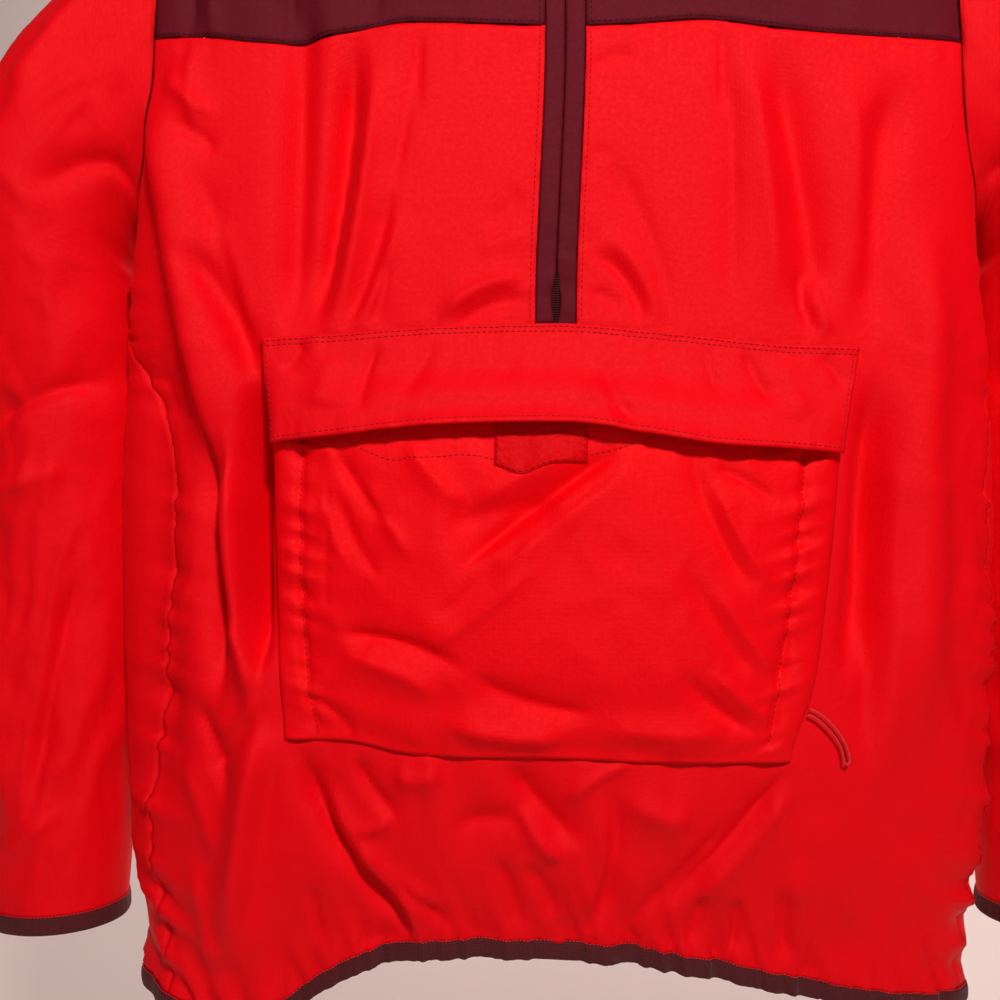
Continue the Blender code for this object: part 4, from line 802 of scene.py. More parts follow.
def metal(name, colour, roughness, scratch=300.0):
    """Worn bare metal, its tone and gloss uneven with fine scratches."""
    made = Finish(name, Metallic=1.0)
    wear = made.noise(made.solid_place(), scratch, 4.0, 0.7)
    made.join(made.scaled(roughness - 0.08, wear, 0.16), "Roughness")
    made.colour([c * 0.8 for c in colour], colour, wear)
    made.join(made.bump(wear, 0.00005, 0.4), "Normal")
    return made.material


def varnished_wood(name):
    """Turned pale wood with its grain along X, under a thin varnish."""
    made = Finish(name, Coat_Weight=0.35, Coat_Roughness=0.2)
    turn = made.nodes.new("ShaderNodeMapping")
    turn.inputs["Scale"].default_value = (6.0, 60.0, 60.0)
    made.links.new(made.solid_place(), turn.inputs["Vector"])
    grain = made.noise(turn.outputs["Vector"], 3.0, 6.0, 0.65, 1.2)
    made.colour((0.36, 0.20, 0.095), (0.62, 0.41, 0.23), grain)
    made.join(made.scaled(0.32, grain, 0.2), "Roughness")
    made.join(made.bump(grain, 0.0003, 0.4), "Normal")
    return made.material


RED = shell_cloth("red_shell_cloth", (0.88, 0.0010, 0.0065), (0.80, 0.0005, 0.005), 0.50, 0.02)
# The pouch's cloth is the shell's own red, painted lighter: painted light that stands in for the
# stronger light on the lower front.
POCKET_RED_PAINTED_LIGHTER = shell_cloth("red_pocket_cloth_painted_lighter", (0.94, 0.0005, 0.0050), (0.86, 0.0003, 0.004),
                         0.45, 0.02, crinkle=1.15)
MAROON = shell_cloth("maroon_shell_cloth", (0.142, 0.0060, 0.0150), (0.094, 0.004, 0.010),
                     0.52, 0.03, crinkle=0.7, gloss=0.06)
ELASTIC = elastic_cloth("maroon_elastic_rib", (0.086, 0.0050, 0.0080))
RED_THREAD = thread("red_thread", (0.38, 0.002, 0.004))
MAROON_THREAD = thread("maroon_thread", (0.026, 0.003, 0.005))
HEM_THREAD = thread("hem_thread", (0.80, 0.045, 0.045))
CORD_RED = thread("red_cord_braid", (0.62, 0.030, 0.034))
COIL = thread("zip_coil_nylon", (0.045, 0.008, 0.012))
FUZZ = thread("hook_loop_fuzz", (0.66, 0.0005, 0.0030), 0.05)
DARK_METAL = metal("dark_zip_metal", (0.20, 0.20, 0.21), 0.38)
STEEL = metal("bright_hook_steel", (0.66, 0.66, 0.67), 0.22, 120.0)
WOOD = varnished_wood("varnished_hanger_wood")


# ---------------------------------------------------------------- making meshes
def link(made):
    """Puts an object in the scene."""
    bpy.context.scene.collection.objects.link(made)
    return made


def cloth_piece(name, points, u, v, normals, finish, wall, ring=False, missing=None):
    """A sheet on a grid of points, with its cloth coordinates as a UV map and its wall inwards."""
    places_uv = np.stack(np.broadcast_arrays(u, v), -1)
    rows, cols = points.shape[:2]
    i, j = np.meshgrid(np.arange(rows - 1), np.arange(cols if ring else cols - 1), indexing="ij")
    k = (j + 1) % cols
    faces = np.stack([i * cols + j, i * cols + k, (i + 1) * cols + k, (i + 1) * cols + j], -1)
    corner_u = np.stack([j, j + 1, j + 1, j], -1)
    if missing is not None:
        keep = ~missing
        faces, corner_u, i, j = faces[keep], corner_u[keep], i[keep], j[keep]
    faces, corner_u = faces.reshape(-1, 4), corner_u.reshape(-1, 4)
    i, j = i.reshape(-1), j.reshape(-1)
    flat = points.reshape(-1, 3) - [0, 0, HOOK_HEIGHT]
    a, b, c = (flat[faces[:, n]] for n in (0, 1, 3))
    toward = (np.cross(b - a, c - a) * normals.reshape(-1, 3)[faces[:, 0]]).sum()
    corner_v = np.stack([i, i, i + 1, i + 1], -1)
    if toward < 0:
        faces, corner_u, corner_v = faces[:, ::-1], corner_u[:, ::-1], corner_v[:, ::-1]
    used = np.unique(faces)
    renumber = np.full(len(flat), -1)
    renumber[used] = np.arange(len(used))
    mesh = bpy.data.meshes.new(name)
    mesh.from_pydata(flat[used].tolist(), [], renumber[faces].tolist())
    layer = mesh.uv_layers.new(name="cloth")
    wrapped = places_uv
    if ring:
        width = np.linalg.norm(points[:, 0] - points[:, -1], axis=-1)
        last = places_uv[:, -1:] + np.stack([width, 0 * width], -1)[:, None]
        wrapped = np.concatenate([places_uv, last], axis=1)
    uv = wrapped[corner_v.reshape(-1), corner_u.reshape(-1)]
    layer.data.foreach_set("uv", uv.astype(np.float32).reshape(-1))
    mesh.materials.append(finish)
    mesh.shade_smooth()
    piece = link(bpy.data.objects.new(name, mesh))
    cloth = piece.modifiers.new("Thickness", "SOLIDIFY")
    cloth.thickness = wall
    cloth.offset = -1.0
    return piece


def grid_normals(points, ring=False):
    """Directions square to a grid of points."""
    if ring:
        across = np.roll(points, -1, 1) - np.roll(points, 1, 1)
    else:
        across = np.gradient(points, axis=1)
    normal = np.cross(across, np.gradient(points, axis=0))
    return normal / np.maximum(np.linalg.norm(normal, axis=-1, keepdims=True), 1e-12)


def spread(stops, counts):
    """Evenly spread values through the stops, with so many steps between each two."""
    runs = [np.linspace(a, b, n, endpoint=False) for a, b, n in zip(stops, stops[1:], counts)]
    return np.concatenate([*runs, [stops[-1]]])


HALF_STOPS = (0, NECK_COLUMN, EDGE_COLUMN, SIDE_COLUMN)
HALF = spread(HALF_STOPS, (27, 33, 34))
ZIP_COLUMNS = np.linspace(-SLIT_SPAN, SLIT_SPAN, 10)[1:-1]
FRONT_COLUMNS = np.concatenate([-SLIT_SPAN - HALF[::-1], ZIP_COLUMNS, SLIT_SPAN + HALF])
BACK_HALF = spread(HALF_STOPS, (26, 26, 34))
BACK_COLUMNS = np.concatenate([BACK_HALF[::-1], -BACK_HALF[1:]])


def red_rise(u, v):
    """Fine relief of the red front: creases, crinkles and the puckers along its seams."""
    hem = v - line_at("hem", u)
    foot = line_at("pocket_foot", u) - v
    flap = v - line_at("flap_seam", u)
    yoke = line_at("yoke_seam", u) - v
    left = edge_at("left_edge", v)
    right = edge_at("right_edge", v)
    rise = (CHEST_DEPTH * crease_rise(CHEST_CREASES, u, v)
            + BAND_DEPTH * crease_rise(BAND_CREASES, u, v))
    rise += SIDE_DEPTH * crease_rise(SIDE_CREASES, u, v)
    low = smooth_step((0.15 - v) / 0.05)
    side = smooth_step((np.abs(u) - 0.150) / 0.03) * smooth_step((0.40 - v) / 0.05)
    rise += 0.0030 * crumple(u, v, 3, 2.0) * np.maximum(0.10, np.maximum(0.75 * low, side))
    rise *= seam_hush(u, v, False)
    above = flap > 0
    rise += puckers(u, yoke, "front_yoke_seam") * (yoke > 0)
    rise += puckers(u, flap, "above_flap") * above
    gather = 0.45 + 0.55 * smooth_step(hem / 0.008)
    rise += puckers(u, hem, "front_hem") * gather
    rise += puckers(u, hem, "front_hem_fine") * gather
    rise += puckers(u, foot, "below_pocket") * (foot > 0)
    rise *= 0.15 + 0.85 * seam_hush(u, v, False)
    rise += side_puckers(u, v, False)
    zip_edge = np.abs(u - edge_at("zip_lean", v)) - SLIT_HALF
    rise += puckers(v, zip_edge, "zip_edge", 6 * (u < 0)) * above
    rise += 0.0009 * np.exp(-(np.maximum(zip_edge, 0) / 0.003) ** 2) * above
    rise -= 0.0005 * np.exp(-((zip_edge - ZIP_INSET) / STITCH_GROOVE) ** 2) * above
    covered = ((u > -left) & (u < right) & (flap < 0) & (foot < 0))
    inside = np.minimum(np.minimum(u + left, right - u), np.minimum(-flap, -foot))
    hush = np.where(covered, 1 - smooth_step(inside / 0.004), 1.0)
    return rise * hush + side_swell(u, v)


def side_puckers(u, v, back):
    """Creases that run across the side seam, the same on both panels."""
    off = u - seam_girth(u, v, back)
    return puckers(v, off, "side_seam") * smooth_step((0.43 - v) / 0.05)


def side_swell(u, v):
    """The lower body bellies out at its sides, against the sleeves."""
    side = np.interp(v, RING_HEIGHTS, SIDE_GIRTH)
    near = np.exp(-((np.abs(u) - side) / 0.070) ** 2)
    lower = smooth_step((0.42 - v) / 0.08)
    return SWELL * near * lower * (1 + 0.5 * smooth_step((0.12 - v) / 0.08))


def make_front():
    levels = spread((0, 1, 2, 3, 4), (44, 52, 20, 64))
    signed, level = np.meshgrid(FRONT_COLUMNS, levels)
    u, v, points, normals = panel_points(signed, level)
    points = points + normals * red_rise(u, v)[..., None]
    points[-1, :, 2] -= GAP
    middle = (signed[:-1, :-1] + signed[:-1, 1:]) / 2
    missing = (np.abs(middle) < SLIT_SPAN) & (level[:-1, :-1] >= 3 - 1e-6)
    return cloth_piece("front_panel", points, u, v, normals, RED, SHELL_WALL, missing=missing)


def back_rise(u, v, height):
    """Fine relief of the back, by distance from centre back."""
    hem = v - line_at("hem", u)
    yoke = line_at("yoke_seam", u) - v
    behind = around_back(u, height)
    rise = (BACK_DEPTH * crease_rise(BACK_CREASES, behind, v)
            + 0.0024 * crumple(behind, v, 61, 1.8))
    rise = rise * seam_hush(u, v, True)
    gather = 0.45 + 0.55 * smooth_step(hem / 0.008)
    rise += puckers(behind, yoke, "back_yoke_seam")
    rise += puckers(behind, hem, "back_hem") * gather * seam_hush(u, v, True)
    rise += side_puckers(u, v, True)
    return rise + side_swell(u, v)


def make_back():
    levels = spread((0, 1, 2, 3, 4), (36, 48, 16, 50))
    signed, level = np.meshgrid(BACK_COLUMNS, levels)
    u, v, points, normals = panel_points(signed, level, back=True)
    points = points + normals * back_rise(u, v, v)[..., None]
    points[-1, :, 2] -= GAP
    return cloth_piece("back_panel", points, around_back(u, v), v, normals, RED, SHELL_WALL)


def yoke_rise(u, v, back):
    """Fine relief of a yoke, with the sunk row of stitches above its seam."""
    seam = v - line_at("yoke_seam", u)
    if back:
        across = around_back(u, v)
        rise = (BACK_YOKE_DEPTH * crease_rise(BACK_CREASES, across, v)
                + 0.0009 * crumple(across, v, 81))
    else:
        across = u
        rise = crease_rise(YOKE_CREASES, u, v) + 0.0009 * crumple(u, v, 83)
    rise += puckers(across, seam, "yoke_foot")
    stitched = np.exp(-((seam - YOKE_INSET) / STITCH_GROOVE) ** 2)
    rise += 0.0006 * np.exp(-(seam / 0.004) ** 2) - 0.0005 * stitched
    return rise * (1 - smooth_step((v - 0.62) / 0.05) * 0.8)


def make_yokes():
    levels = 4 + 1 - (1 - np.linspace(0, 1, 62)) ** 1.7
    pieces = []
    for name, columns, back in (("front_yoke_left_panel", -SLIT_SPAN - HALF[::-1], False),
                                ("front_yoke_right_panel", SLIT_SPAN + HALF, False),
                                ("back_yoke_panel", BACK_COLUMNS, True)):
        signed, level = np.meshgrid(columns, levels)
        u, v, points, normals = panel_points(signed, level, back=back)
        points = points + normals * yoke_rise(u, v, back)[..., None]
        points[0, :, 2] += GAP
        along = around_back(u, v) if back else u
        pieces.append(cloth_piece(name, points, along, v, normals, MAROON, YOKE_WALL))
    return pieces


# ---------------------------------------------------------------- sleeves and cuffs
ARMHOLE_LEVELS = (UNDERARM_LEVEL, 3.63, 3.82, 4, 4.25, 4.5, 4.75, 4.92, TOP_LEVEL)


def flat_directions(normals):
    """Outward directions turned level."""
    level = normals * [1, 1, 0]
    return level / np.linalg.norm(level, axis=-1, keepdims=True)


def armhole(side, angle):
    """The armhole's edge by angle: 0 at the underarm, up the front, pi at the shoulder."""
    stops = len(ARMHOLE_LEVELS) - 1
    spot = angle / math.pi * stops
    front = spot <= stops
    level = np.interp(np.where(front, spot, 2 * stops - spot), np.arange(stops + 1), ARMHOLE_LEVELS)
    ahead = panel_points(np.full(angle.shape, side * (SIDE_COLUMN + SLIT_SPAN)), level)[2]
    behind = panel_points(np.full(angle.shape, float(side * SIDE_COLUMN)), level, back=True)[2]
    return np.where(front[:, None], ahead, behind)


def between(a, b, c, d, t):
    """The place a share t of the way from b to c on a smooth curve through all four."""
    return 0.5 * (2 * b + (c - a) * t + (2 * a - 5 * b + 4 * c - d) * t ** 2
                  + (3 * b - a - 3 * c + d) * t ** 3)


def through_rows(values, at):
    """A smooth curve through evenly spaced values."""
    p = np.concatenate([[2 * values[0] - values[1]], values, [2 * values[-1] - values[-2]]])
    k = np.clip(np.floor(at).astype(int), 0, len(values) - 2)
    t = at - k
    a, b, c, d = p[k], p[k + 1], p[k + 2], p[k + 3]
    return between(a, b, c, d, t)


def make_sleeve(side):
    around = 112
    angle = np.arange(around) / around * 2 * math.pi
    rows = spread((0, 6, 11), (48, 132))
    ring = {name: through_rows(np.array(column, float), rows)
            for name, column in SLEEVE_RINGS.items()}
    edge = armhole(side, angle)
    across, deep = (1 - np.cos(angle)) / 2, -np.sin(angle)
    turn = np.radians(ring["turn"])[:, None]
    width, x, z = ring["width"][:, None], ring["x"][:, None], ring["z"][:, None]
    oval = np.stack([side * (x + width * across * np.sin(turn)),
                     ring["depth"][:, None] * deep + ring["sway"][:, None],
                     z + width * across * np.cos(turn)], -1)
    blend = np.clip(ring["blend"], 0, 1)[:, None, None]
    points = oval + (1 - blend) * (edge - oval[0])
    points[0, :, 0] += side * 2 * GAP
    normals = grid_normals(points, ring=True) * side
    outward = points - points.mean(axis=1, keepdims=True)
    normals *= np.sign((normals * outward).sum())
    middles = points.mean(axis=1)
    steps = np.linalg.norm(np.diff(middles, axis=0), axis=-1)
    down = np.concatenate([[0], np.cumsum(steps)])
    u = np.broadcast_to(angle[None] * SLEEVE_RADIUS, points.shape[:2])
    v = np.broadcast_to(down[:, None], points.shape[:2])
    whole = 2 * math.pi * SLEEVE_RADIUS
    rise = SLEEVE_DEPTH * sum(crease_rise(SLEEVE_CREASES, u + shift, v)
                              for shift in (-whole, 0, whole))
    ride = np.cos(angle)[None] * 0.03, np.sin(angle)[None] * 0.03
    rise += 0.0030 * crumple(ride[0] * 4 + 0 * v, v + ride[1], 91)
    rise += puckers(u, v, "armhole")
    rise += puckers(u, down[-1] - v, "cuff")
    rise = rise * smooth_step(v / 0.006) * smooth_step(1.02 - (v / down[-1]) ** 40)
    inner = smooth_step((np.cos(angle)[None] - 0.2) / 0.8) * smooth_step(v / 0.02)
    rise = np.where(rise > 0, rise * (1 - 0.7 * inner), rise)
    points = points + normals * rise[..., None]
    low = smooth_step((0.46 - points[..., 2]) / 0.06) * smooth_step((v - 0.003) / 0.03)
    points[..., 0] -= side * 0.0075 * low
    points[..., 1] += 0.006 * low
    word = "left" if side < 0 else "right"
    sleeve = cloth_piece("sleeve_%s_tube" % word, points, u, v, normals, RED, SHELL_WALL, ring=True)
    down_share = np.linspace(0, 1, CUFF_ROWS)
    wave = 0.0004 * np.sin(angle * 46)[None, :, None]
    edge = points[-1][None] + np.zeros((CUFF_ROWS, 1, 1))
    drop = BINDING_DEPTH * down_share - BINDING_LAP * (1 - down_share)
    band = edge - np.array([0, 0, 1]) * drop[:, None, None]
    level = flat_directions(normals[-1])
    roll = CUFF_ROLL * np.sqrt(np.maximum(1 - (2 * down_share - 1) ** 2, 0))[:, None, None]
    band = band + level[None] * (roll + wave * roll / CUFF_ROLL + BINDING_PROUD)
    cuff = cloth_piece("cuff_%s_band" % word, band, angle * CUFF_RADIUS,
                       down_share[:, None] * BINDING_DEPTH, np.broadcast_to(level, band.shape),
                       ELASTIC, CUFF_WALL, ring=True)
    return sleeve, cuff


# ---------------------------------------------------------------- collar, zip and hem
def make_hem_band():
    columns = spread(HALF_STOPS, (40, 50, 50))
    front = np.concatenate([-SLIT_SPAN - columns[::-1], SLIT_SPAN + columns])
    back = np.concatenate([columns[::-1][1:], -columns[1:-1]])
    uf, vf, pf, nf = panel_points(front, np.zeros(front.shape))
    ub, vb, pb, nb = panel_points(back, np.zeros(back.shape), back=True)
    pf = pf + nf * red_rise(uf, vf)[..., None]
    pb = pb + nb * back_rise(ub, vb, vb)[..., None]
    edge, level = np.concatenate([pf, pb]), flat_directions(np.concatenate([nf, nb]))
    step = np.linalg.norm(np.diff(edge, axis=0, append=edge[:1]), axis=-1)
    along = np.concatenate([[0], np.cumsum(step)[:-1]])
    down = np.linspace(0, 1, HEM_ROWS)
    roll = np.sqrt(np.maximum(1 - (2 * down - 1) ** 2, 0))[:, None, None]
    gather = 1 + 0.25 * lumps(along / 0.006, 113)[None, :, None]
    drop = (BINDING_DEPTH * down - BINDING_LAP * (1 - down))[:, None, None]
    band = edge[None] - np.array([0, 0, 1]) * drop
    band = band + level[None] * (HEM_ROLL * roll * gather + BINDING_PROUD)
    return cloth_piece("hem_band", band, along, down[:, None] * BINDING_DEPTH,
                       np.broadcast_to(level, band.shape), ELASTIC, HEM_WALL, ring=True)


def neck_edge():
    """The neckline from the zip's left edge round the back to its right edge."""
    half = np.linspace(0, NECK_COLUMN, 25)
    left = panel_points(-SLIT_SPAN - half, np.full(25, TOP_LEVEL))[2]
    right = panel_points(SLIT_SPAN + half[::-1], np.full(25, TOP_LEVEL))[2]
    across = np.concatenate([-half[::-1][1:], half[1:-1]])
    behind = panel_points(across, np.full(across.shape, TOP_LEVEL), back=True)[2]
    return np.concatenate([left, behind, right])


def make_collar():
    edge = neck_edge()
    front, back = edge[:, 1].min(), edge[:, 1].max()
    middle, deep = (front + back) / 2, (back - front) / 2
    angle = np.arctan2(edge[:, 0] / NECK_HALF, (middle - edge[:, 1]) / deep)
    behind = (1 - np.cos(angle)) / 2
    top = np.stack([COLLAR_NARROW * NECK_HALF * np.sin(angle), middle - deep * np.cos(angle),
                    COLLAR_FRONT + (COLLAR_BACK - COLLAR_FRONT) * behind], -1)
    ends = smooth_step((0.030 - np.abs(edge[:, 0])) / 0.014) * (edge[:, 1] < middle)
    top[:, :2] += ends[:, None] * (edge[:, :2] - top[:, :2])
    share = np.linspace(0, 1, 30)[:, None, None]
    base = edge + [0, 0, GAP]
    points = base * (1 - share) + top * share
    along = np.concatenate([[0], np.cumsum(np.linalg.norm(np.diff(edge, axis=0), axis=-1))])
    normals = grid_normals(points)
    out = points * [1, 1, 0] - [0, middle, 0]
    normals *= np.sign((normals * out).sum())
    u, v = np.broadcast_to(along, points.shape[:2]), points[..., 2]
    up = share[..., 0]
    rise = 0.0012 * np.sin(math.pi * up) + 0.0010 * crumple(u, v, 121)
    rise += puckers(u, up * COLLAR_DEEP, "collar")
    rise += 0.0009 * np.exp(-((up - 1) * COLLAR_DEEP / 0.003) ** 2)
    rise = rise * smooth_step(np.minimum(along, along[-1] - along)[None] / 0.006)
    points = points + normals * rise[..., None]
    return cloth_piece("collar_band", points, u, v, normals, MAROON, COLLAR_WALL)


WELT_TOP_SHARE = 0.72


def zip_strip(shares, levels, above):
    """Grid up the zip: shares run from -1 to 1 across it; above is heights up the collar."""
    signed, level = np.meshgrid(np.array(shares) * SLIT_SPAN, levels)
    girth, height = places(signed, level)
    points, normals = body_point(girth, height)
    neck = points[-1]
    rise = np.array(above) * (COLLAR_FRONT - neck[:, 2].mean())
    high = neck[None] + np.array([0, 0, 1]) * rise[:, None, None]
    ahead = np.broadcast_to(normals[-1] * [1, 1, 0], high.shape)
    points, normals = np.concatenate([points, high]), np.concatenate([normals, ahead])
    height = np.concatenate([height, height[-1] + rise[:, None]])
    girth = np.concatenate([girth, np.broadcast_to(girth[-1], high.shape[:2])])
    return girth, height, points, normals / np.linalg.norm(normals, axis=-1, keepdims=True)


def make_welts():
    """The two welts that hide the zip: rounded, puckered, and parted a little at the foot."""
    levels = spread((3, 4, 5), (72, 58))
    above = np.linspace(0, WELT_TOP_SHARE, 26)[1:]
    pieces = []
    for word, side in (("left", -1), ("right", 1)):
        shares = np.linspace(0.012, 0.975, 11) * side
        if side < 0:
            shares = shares[::-1]
        u, v, points, normals = zip_strip(shares, levels, above)
        across = (np.abs(shares) - 0.012) / 0.963
        roll = 0.0007 * (1 - (2 * across - 1) ** 6)[None] - 0.0011
        parted = np.exp(-((v - 0.366) / 0.011) ** 2) * (1 - across[None]) ** 1.5
        shift = 0.0024 * parted * side
        sag = -0.0010 * parted
        foot = smooth_step((0.43 - v) / 0.06)
        wrinkle = (0.0002 + 0.0009 * foot) * (lumps(v / 0.0065 + 0.5 * across[None], 131 + side)
                                             + 0.6 * lumps(v / 0.0031, 137 + side))
        wrinkle = wrinkle * (1 - 0.4 * across[None])
        points = points + normals * (roll + sag + wrinkle)[..., None]
        points[..., 0] += shift
        pieces.append(cloth_piece("welt_%s_strip" % word, points, u, v, normals, MAROON,
                                  SHELL_WALL))
    return pieces


def make_zip_tape():
    levels = spread((3, 4, 5), (40, 30))
    shares = np.linspace(-0.95, 0.95, 9)
    u, v, points, normals = zip_strip(shares, levels, np.linspace(0, 1, 20)[1:])
    points = points + normals * -0.0029
    tape = cloth_piece("zip_tape_strip", points, u, v, normals, MAROON, TAPE_WALL)
    middle = points[:, 4] + normals[:, 4] * 0.0004
    return tape, middle


# ---------------------------------------------------------------- pocket, flap and patch
POCKET_ROWS = (1, 1.22, 1.44, 1.66, 1.84, 2, 2.25)


def pocket_out(signed, level):
    """How far the pouch's cloth stands off the front."""
    up = np.interp(level, POCKET_ROWS, np.linspace(0, 1, 7))
    column = np.maximum(np.abs(signed) - SLIT_SPAN, 0)
    over = np.where(np.abs(signed) < SLIT_SPAN, signed / SLIT_SPAN / 15,
                    np.sign(signed) * (2 * column + 1) / 15)
    share = (1 - over ** 4) * np.sin(math.pi * np.clip(0.08 + up * 0.80, 0, 1))
    out = GAP + CAD_CLOTH + POCKET_BULGE * share * smooth_step(up / 0.2)
    mouth = smooth_step((level - 2) / 0.25)
    return out * (1 - mouth) + np.minimum(out, GAP + CAD_CLOTH + MOUTH_GAPE) * mouth


SIDE_STITCH = {"height": (0.11, 0.15, 0.204, 0.285, 0.31),
               "left":   (0.126, 0.136, 0.140, 0.141, 0.141),
               "right":  (0.110, 0.116, 0.124, 0.134, 0.135)}


def pocket_relief(signed, level, u, v):
    """The pouch's offset with its creases, stitched sides and sagging foot."""
    out = pocket_out(signed, level)
    left = u + edge_at("left_edge", v)
    right = edge_at("right_edge", v) - u
    edge = np.minimum(left, right)
    stitch = np.where(u < 0, u + smooth_table(SIDE_STITCH, "left", v, "height"),
                      smooth_table(SIDE_STITCH, "right", v, "height") - u)
    foot = v - line_at("pocket_foot", u)
    soft = smooth_step(edge / 0.010) * smooth_step(foot / 0.008)
    rise = POCKET_DEPTH * crease_rise(POCKET_CREASES, u, v) + 0.0016 * crumple(u, v, 141)
    roll = 0.0018 * smooth_step(edge / 0.003) * np.exp(-((edge - 0.007) / 0.008) ** 2)
    dip = -0.0026 * np.exp(-(stitch / 0.0028) ** 2) * smooth_step((v - 0.125) / 0.02)
    pulls = puckers(v, stitch, "pocket_side") * (np.abs(stitch) < 0.05)
    seam = puckers(u, foot, "pocket_foot")
    below_flap = line_at("flap_edge", u) + 0.012 - v
    under = puckers(u, below_flap, "pocket_mouth") * smooth_step((v - 0.20) / 0.05)
    sag = 0.0040 * np.exp(-((foot - 0.016) / 0.012) ** 2) * smooth_step(edge / 0.02)
    relief = (out + (rise + seam + under) * soft + (pulls + dip) * smooth_step(edge / 0.004)
              + roll + sag)
    return np.maximum(relief, GAP + LEAST_LIFT)


POCKET_HALF = spread((0, NECK_COLUMN, EDGE_COLUMN), (28, 46))
POCKET_COLUMNS = np.concatenate([-SLIT_SPAN - POCKET_HALF[::-1], ZIP_COLUMNS,
                                 SLIT_SPAN + POCKET_HALF])


def make_pocket():
    levels = spread((1, 2, 2.25), (88, 8))
    signed, level = np.meshgrid(POCKET_COLUMNS, levels)
    u, v, points, normals = panel_points(signed, level)
    relief = pocket_relief(signed, level, u, v)
    points = points + normals * relief[..., None]
    return cloth_piece("pocket_pouch", points, u, v, normals, POCKET_RED_PAINTED_LIGHTER, SHELL_WALL)


def flap_lift(signed, level, u, v):
    """How far the flap stands off the front: sewn flat at its seam, proud along its free edge."""
    down = np.clip((3 - level) / 1.0, 0, 1)
    column = np.maximum(np.abs(signed) - SLIT_SPAN, 0)
    over = np.clip((2 * column + 1) / 15, 0, 1)
    mouth = pocket_out(signed, np.minimum(level, 2.25)) * smooth_step((2.6 - level) / 0.35)
    middle = 0.45 + 0.55 * (1 - over ** 4)
    lift = mouth + 2 * GAP + CAD_CLOTH + 0.010 * (1 - (1 - down) ** 1.6) * middle
    seam = line_at("flap_seam", u) - v
    edge = v - line_at("flap_edge", u)
    rise = FLAP_DEPTH * crease_rise(FLAP_CREASES, u, v) + 0.0008 * crumple(u, v, 161)
    rise += puckers(u, seam, "flap_seam") + puckers(u, edge, "flap_edge")
    rise += 0.0005 * np.exp(-((edge - 0.002) / 0.002) ** 2)
    for row in (*(seam - inset for inset in FLAP_SEAM_INSETS), edge - FLAP_INSET):
        rise -= 0.0004 * np.exp(-(row / STITCH_GROOVE) ** 2)
    return lift + rise * smooth_step((down + 0.05) / 0.12) + 0.0010 * np.exp(-(seam / 0.003) ** 2)


def make_flap():
    levels = spread((2, 3), (34,))
    signed, level = np.meshgrid(POCKET_COLUMNS, levels)
    u, v, points, normals = panel_points(signed, level)
    points = points + normals * flap_lift(signed, level, u, v)[..., None]
    return cloth_piece("pocket_flap_panel", points, u, v, normals, RED, FLAP_WALL)


PATCH_LEFT, PATCH_RIGHT, PATCH_LOW, PATCH_HIGH = -0.036, 0.014, 0.2745, 0.3050


def patch_point(share):
    """How far the patch's lower edge is pulled down, by the share of its width."""
    return 0.006 * np.exp(-((share - 0.28) / 0.22) ** 2)


def make_patch():
    """The fuzzy hook-and-loop patch, square, with its lower corner pulled down."""
    s, t = np.meshgrid(np.linspace(0, 1, 60), np.linspace(0, 1, 40))
    u = PATCH_LEFT + (PATCH_RIGHT - PATCH_LEFT) * s
    point = patch_point(s) * (1 - t)
    v = PATCH_LOW + (PATCH_HIGH - PATCH_LOW) * t - point
    wide = line_at("flap_edge", u)
    foot = line_at("pocket_foot", u)
    level = np.where(v < wide, 1 + (v - foot) / (wide - foot), 2 + (v - wide) / 0.057)
    points, normals = body_point(u, v)
    reach = signed_from_girth(u)
    out = pocket_relief(reach, level, u, v)
    loops = 0.0009 + 0.0003 * clouds(u, v, 0.0013, 171) + 0.0002 * clouds(u, v, 0.0007, 173)
    rim = np.minimum(np.minimum(s, 1 - s) * 0.05, np.minimum(t, 1 - t) * 0.03)
    points = points + normals * (out + GAP + loops * smooth_step(rim / 0.002))[..., None]
    return cloth_piece("hook_loop_patch_fuzz", points, u, v, normals, FUZZ, PATCH_WALL)


def signed_from_girth(u):
    """Signed column near centre front for a girth at the pouch's height."""
    half = SLIT_HALF + np.where(u < 0, -1, 1) * -0.0022
    column = (np.abs(u) - half) / (0.081 - half) * NECK_COLUMN
    return np.where(column < 0, u / half * SLIT_SPAN, np.sign(u) * (column + SLIT_SPAN))


# ---------------------------------------------------------------- stitches and zip teeth
# Sizes are across, deep and along the path.
STITCH, STITCH_PITCH = (0.00068, 0.00068, 0.0022), 0.0032
EDGE_STITCH, EDGE_STITCH_PITCH, EDGE_STITCH_LIFT = (0.0006, 0.0005, 0.0011), 0.0020, 0.0003
TOOTH, TOOTH_PITCH = (0.0050, 0.0011, 0.0008), 0.0013


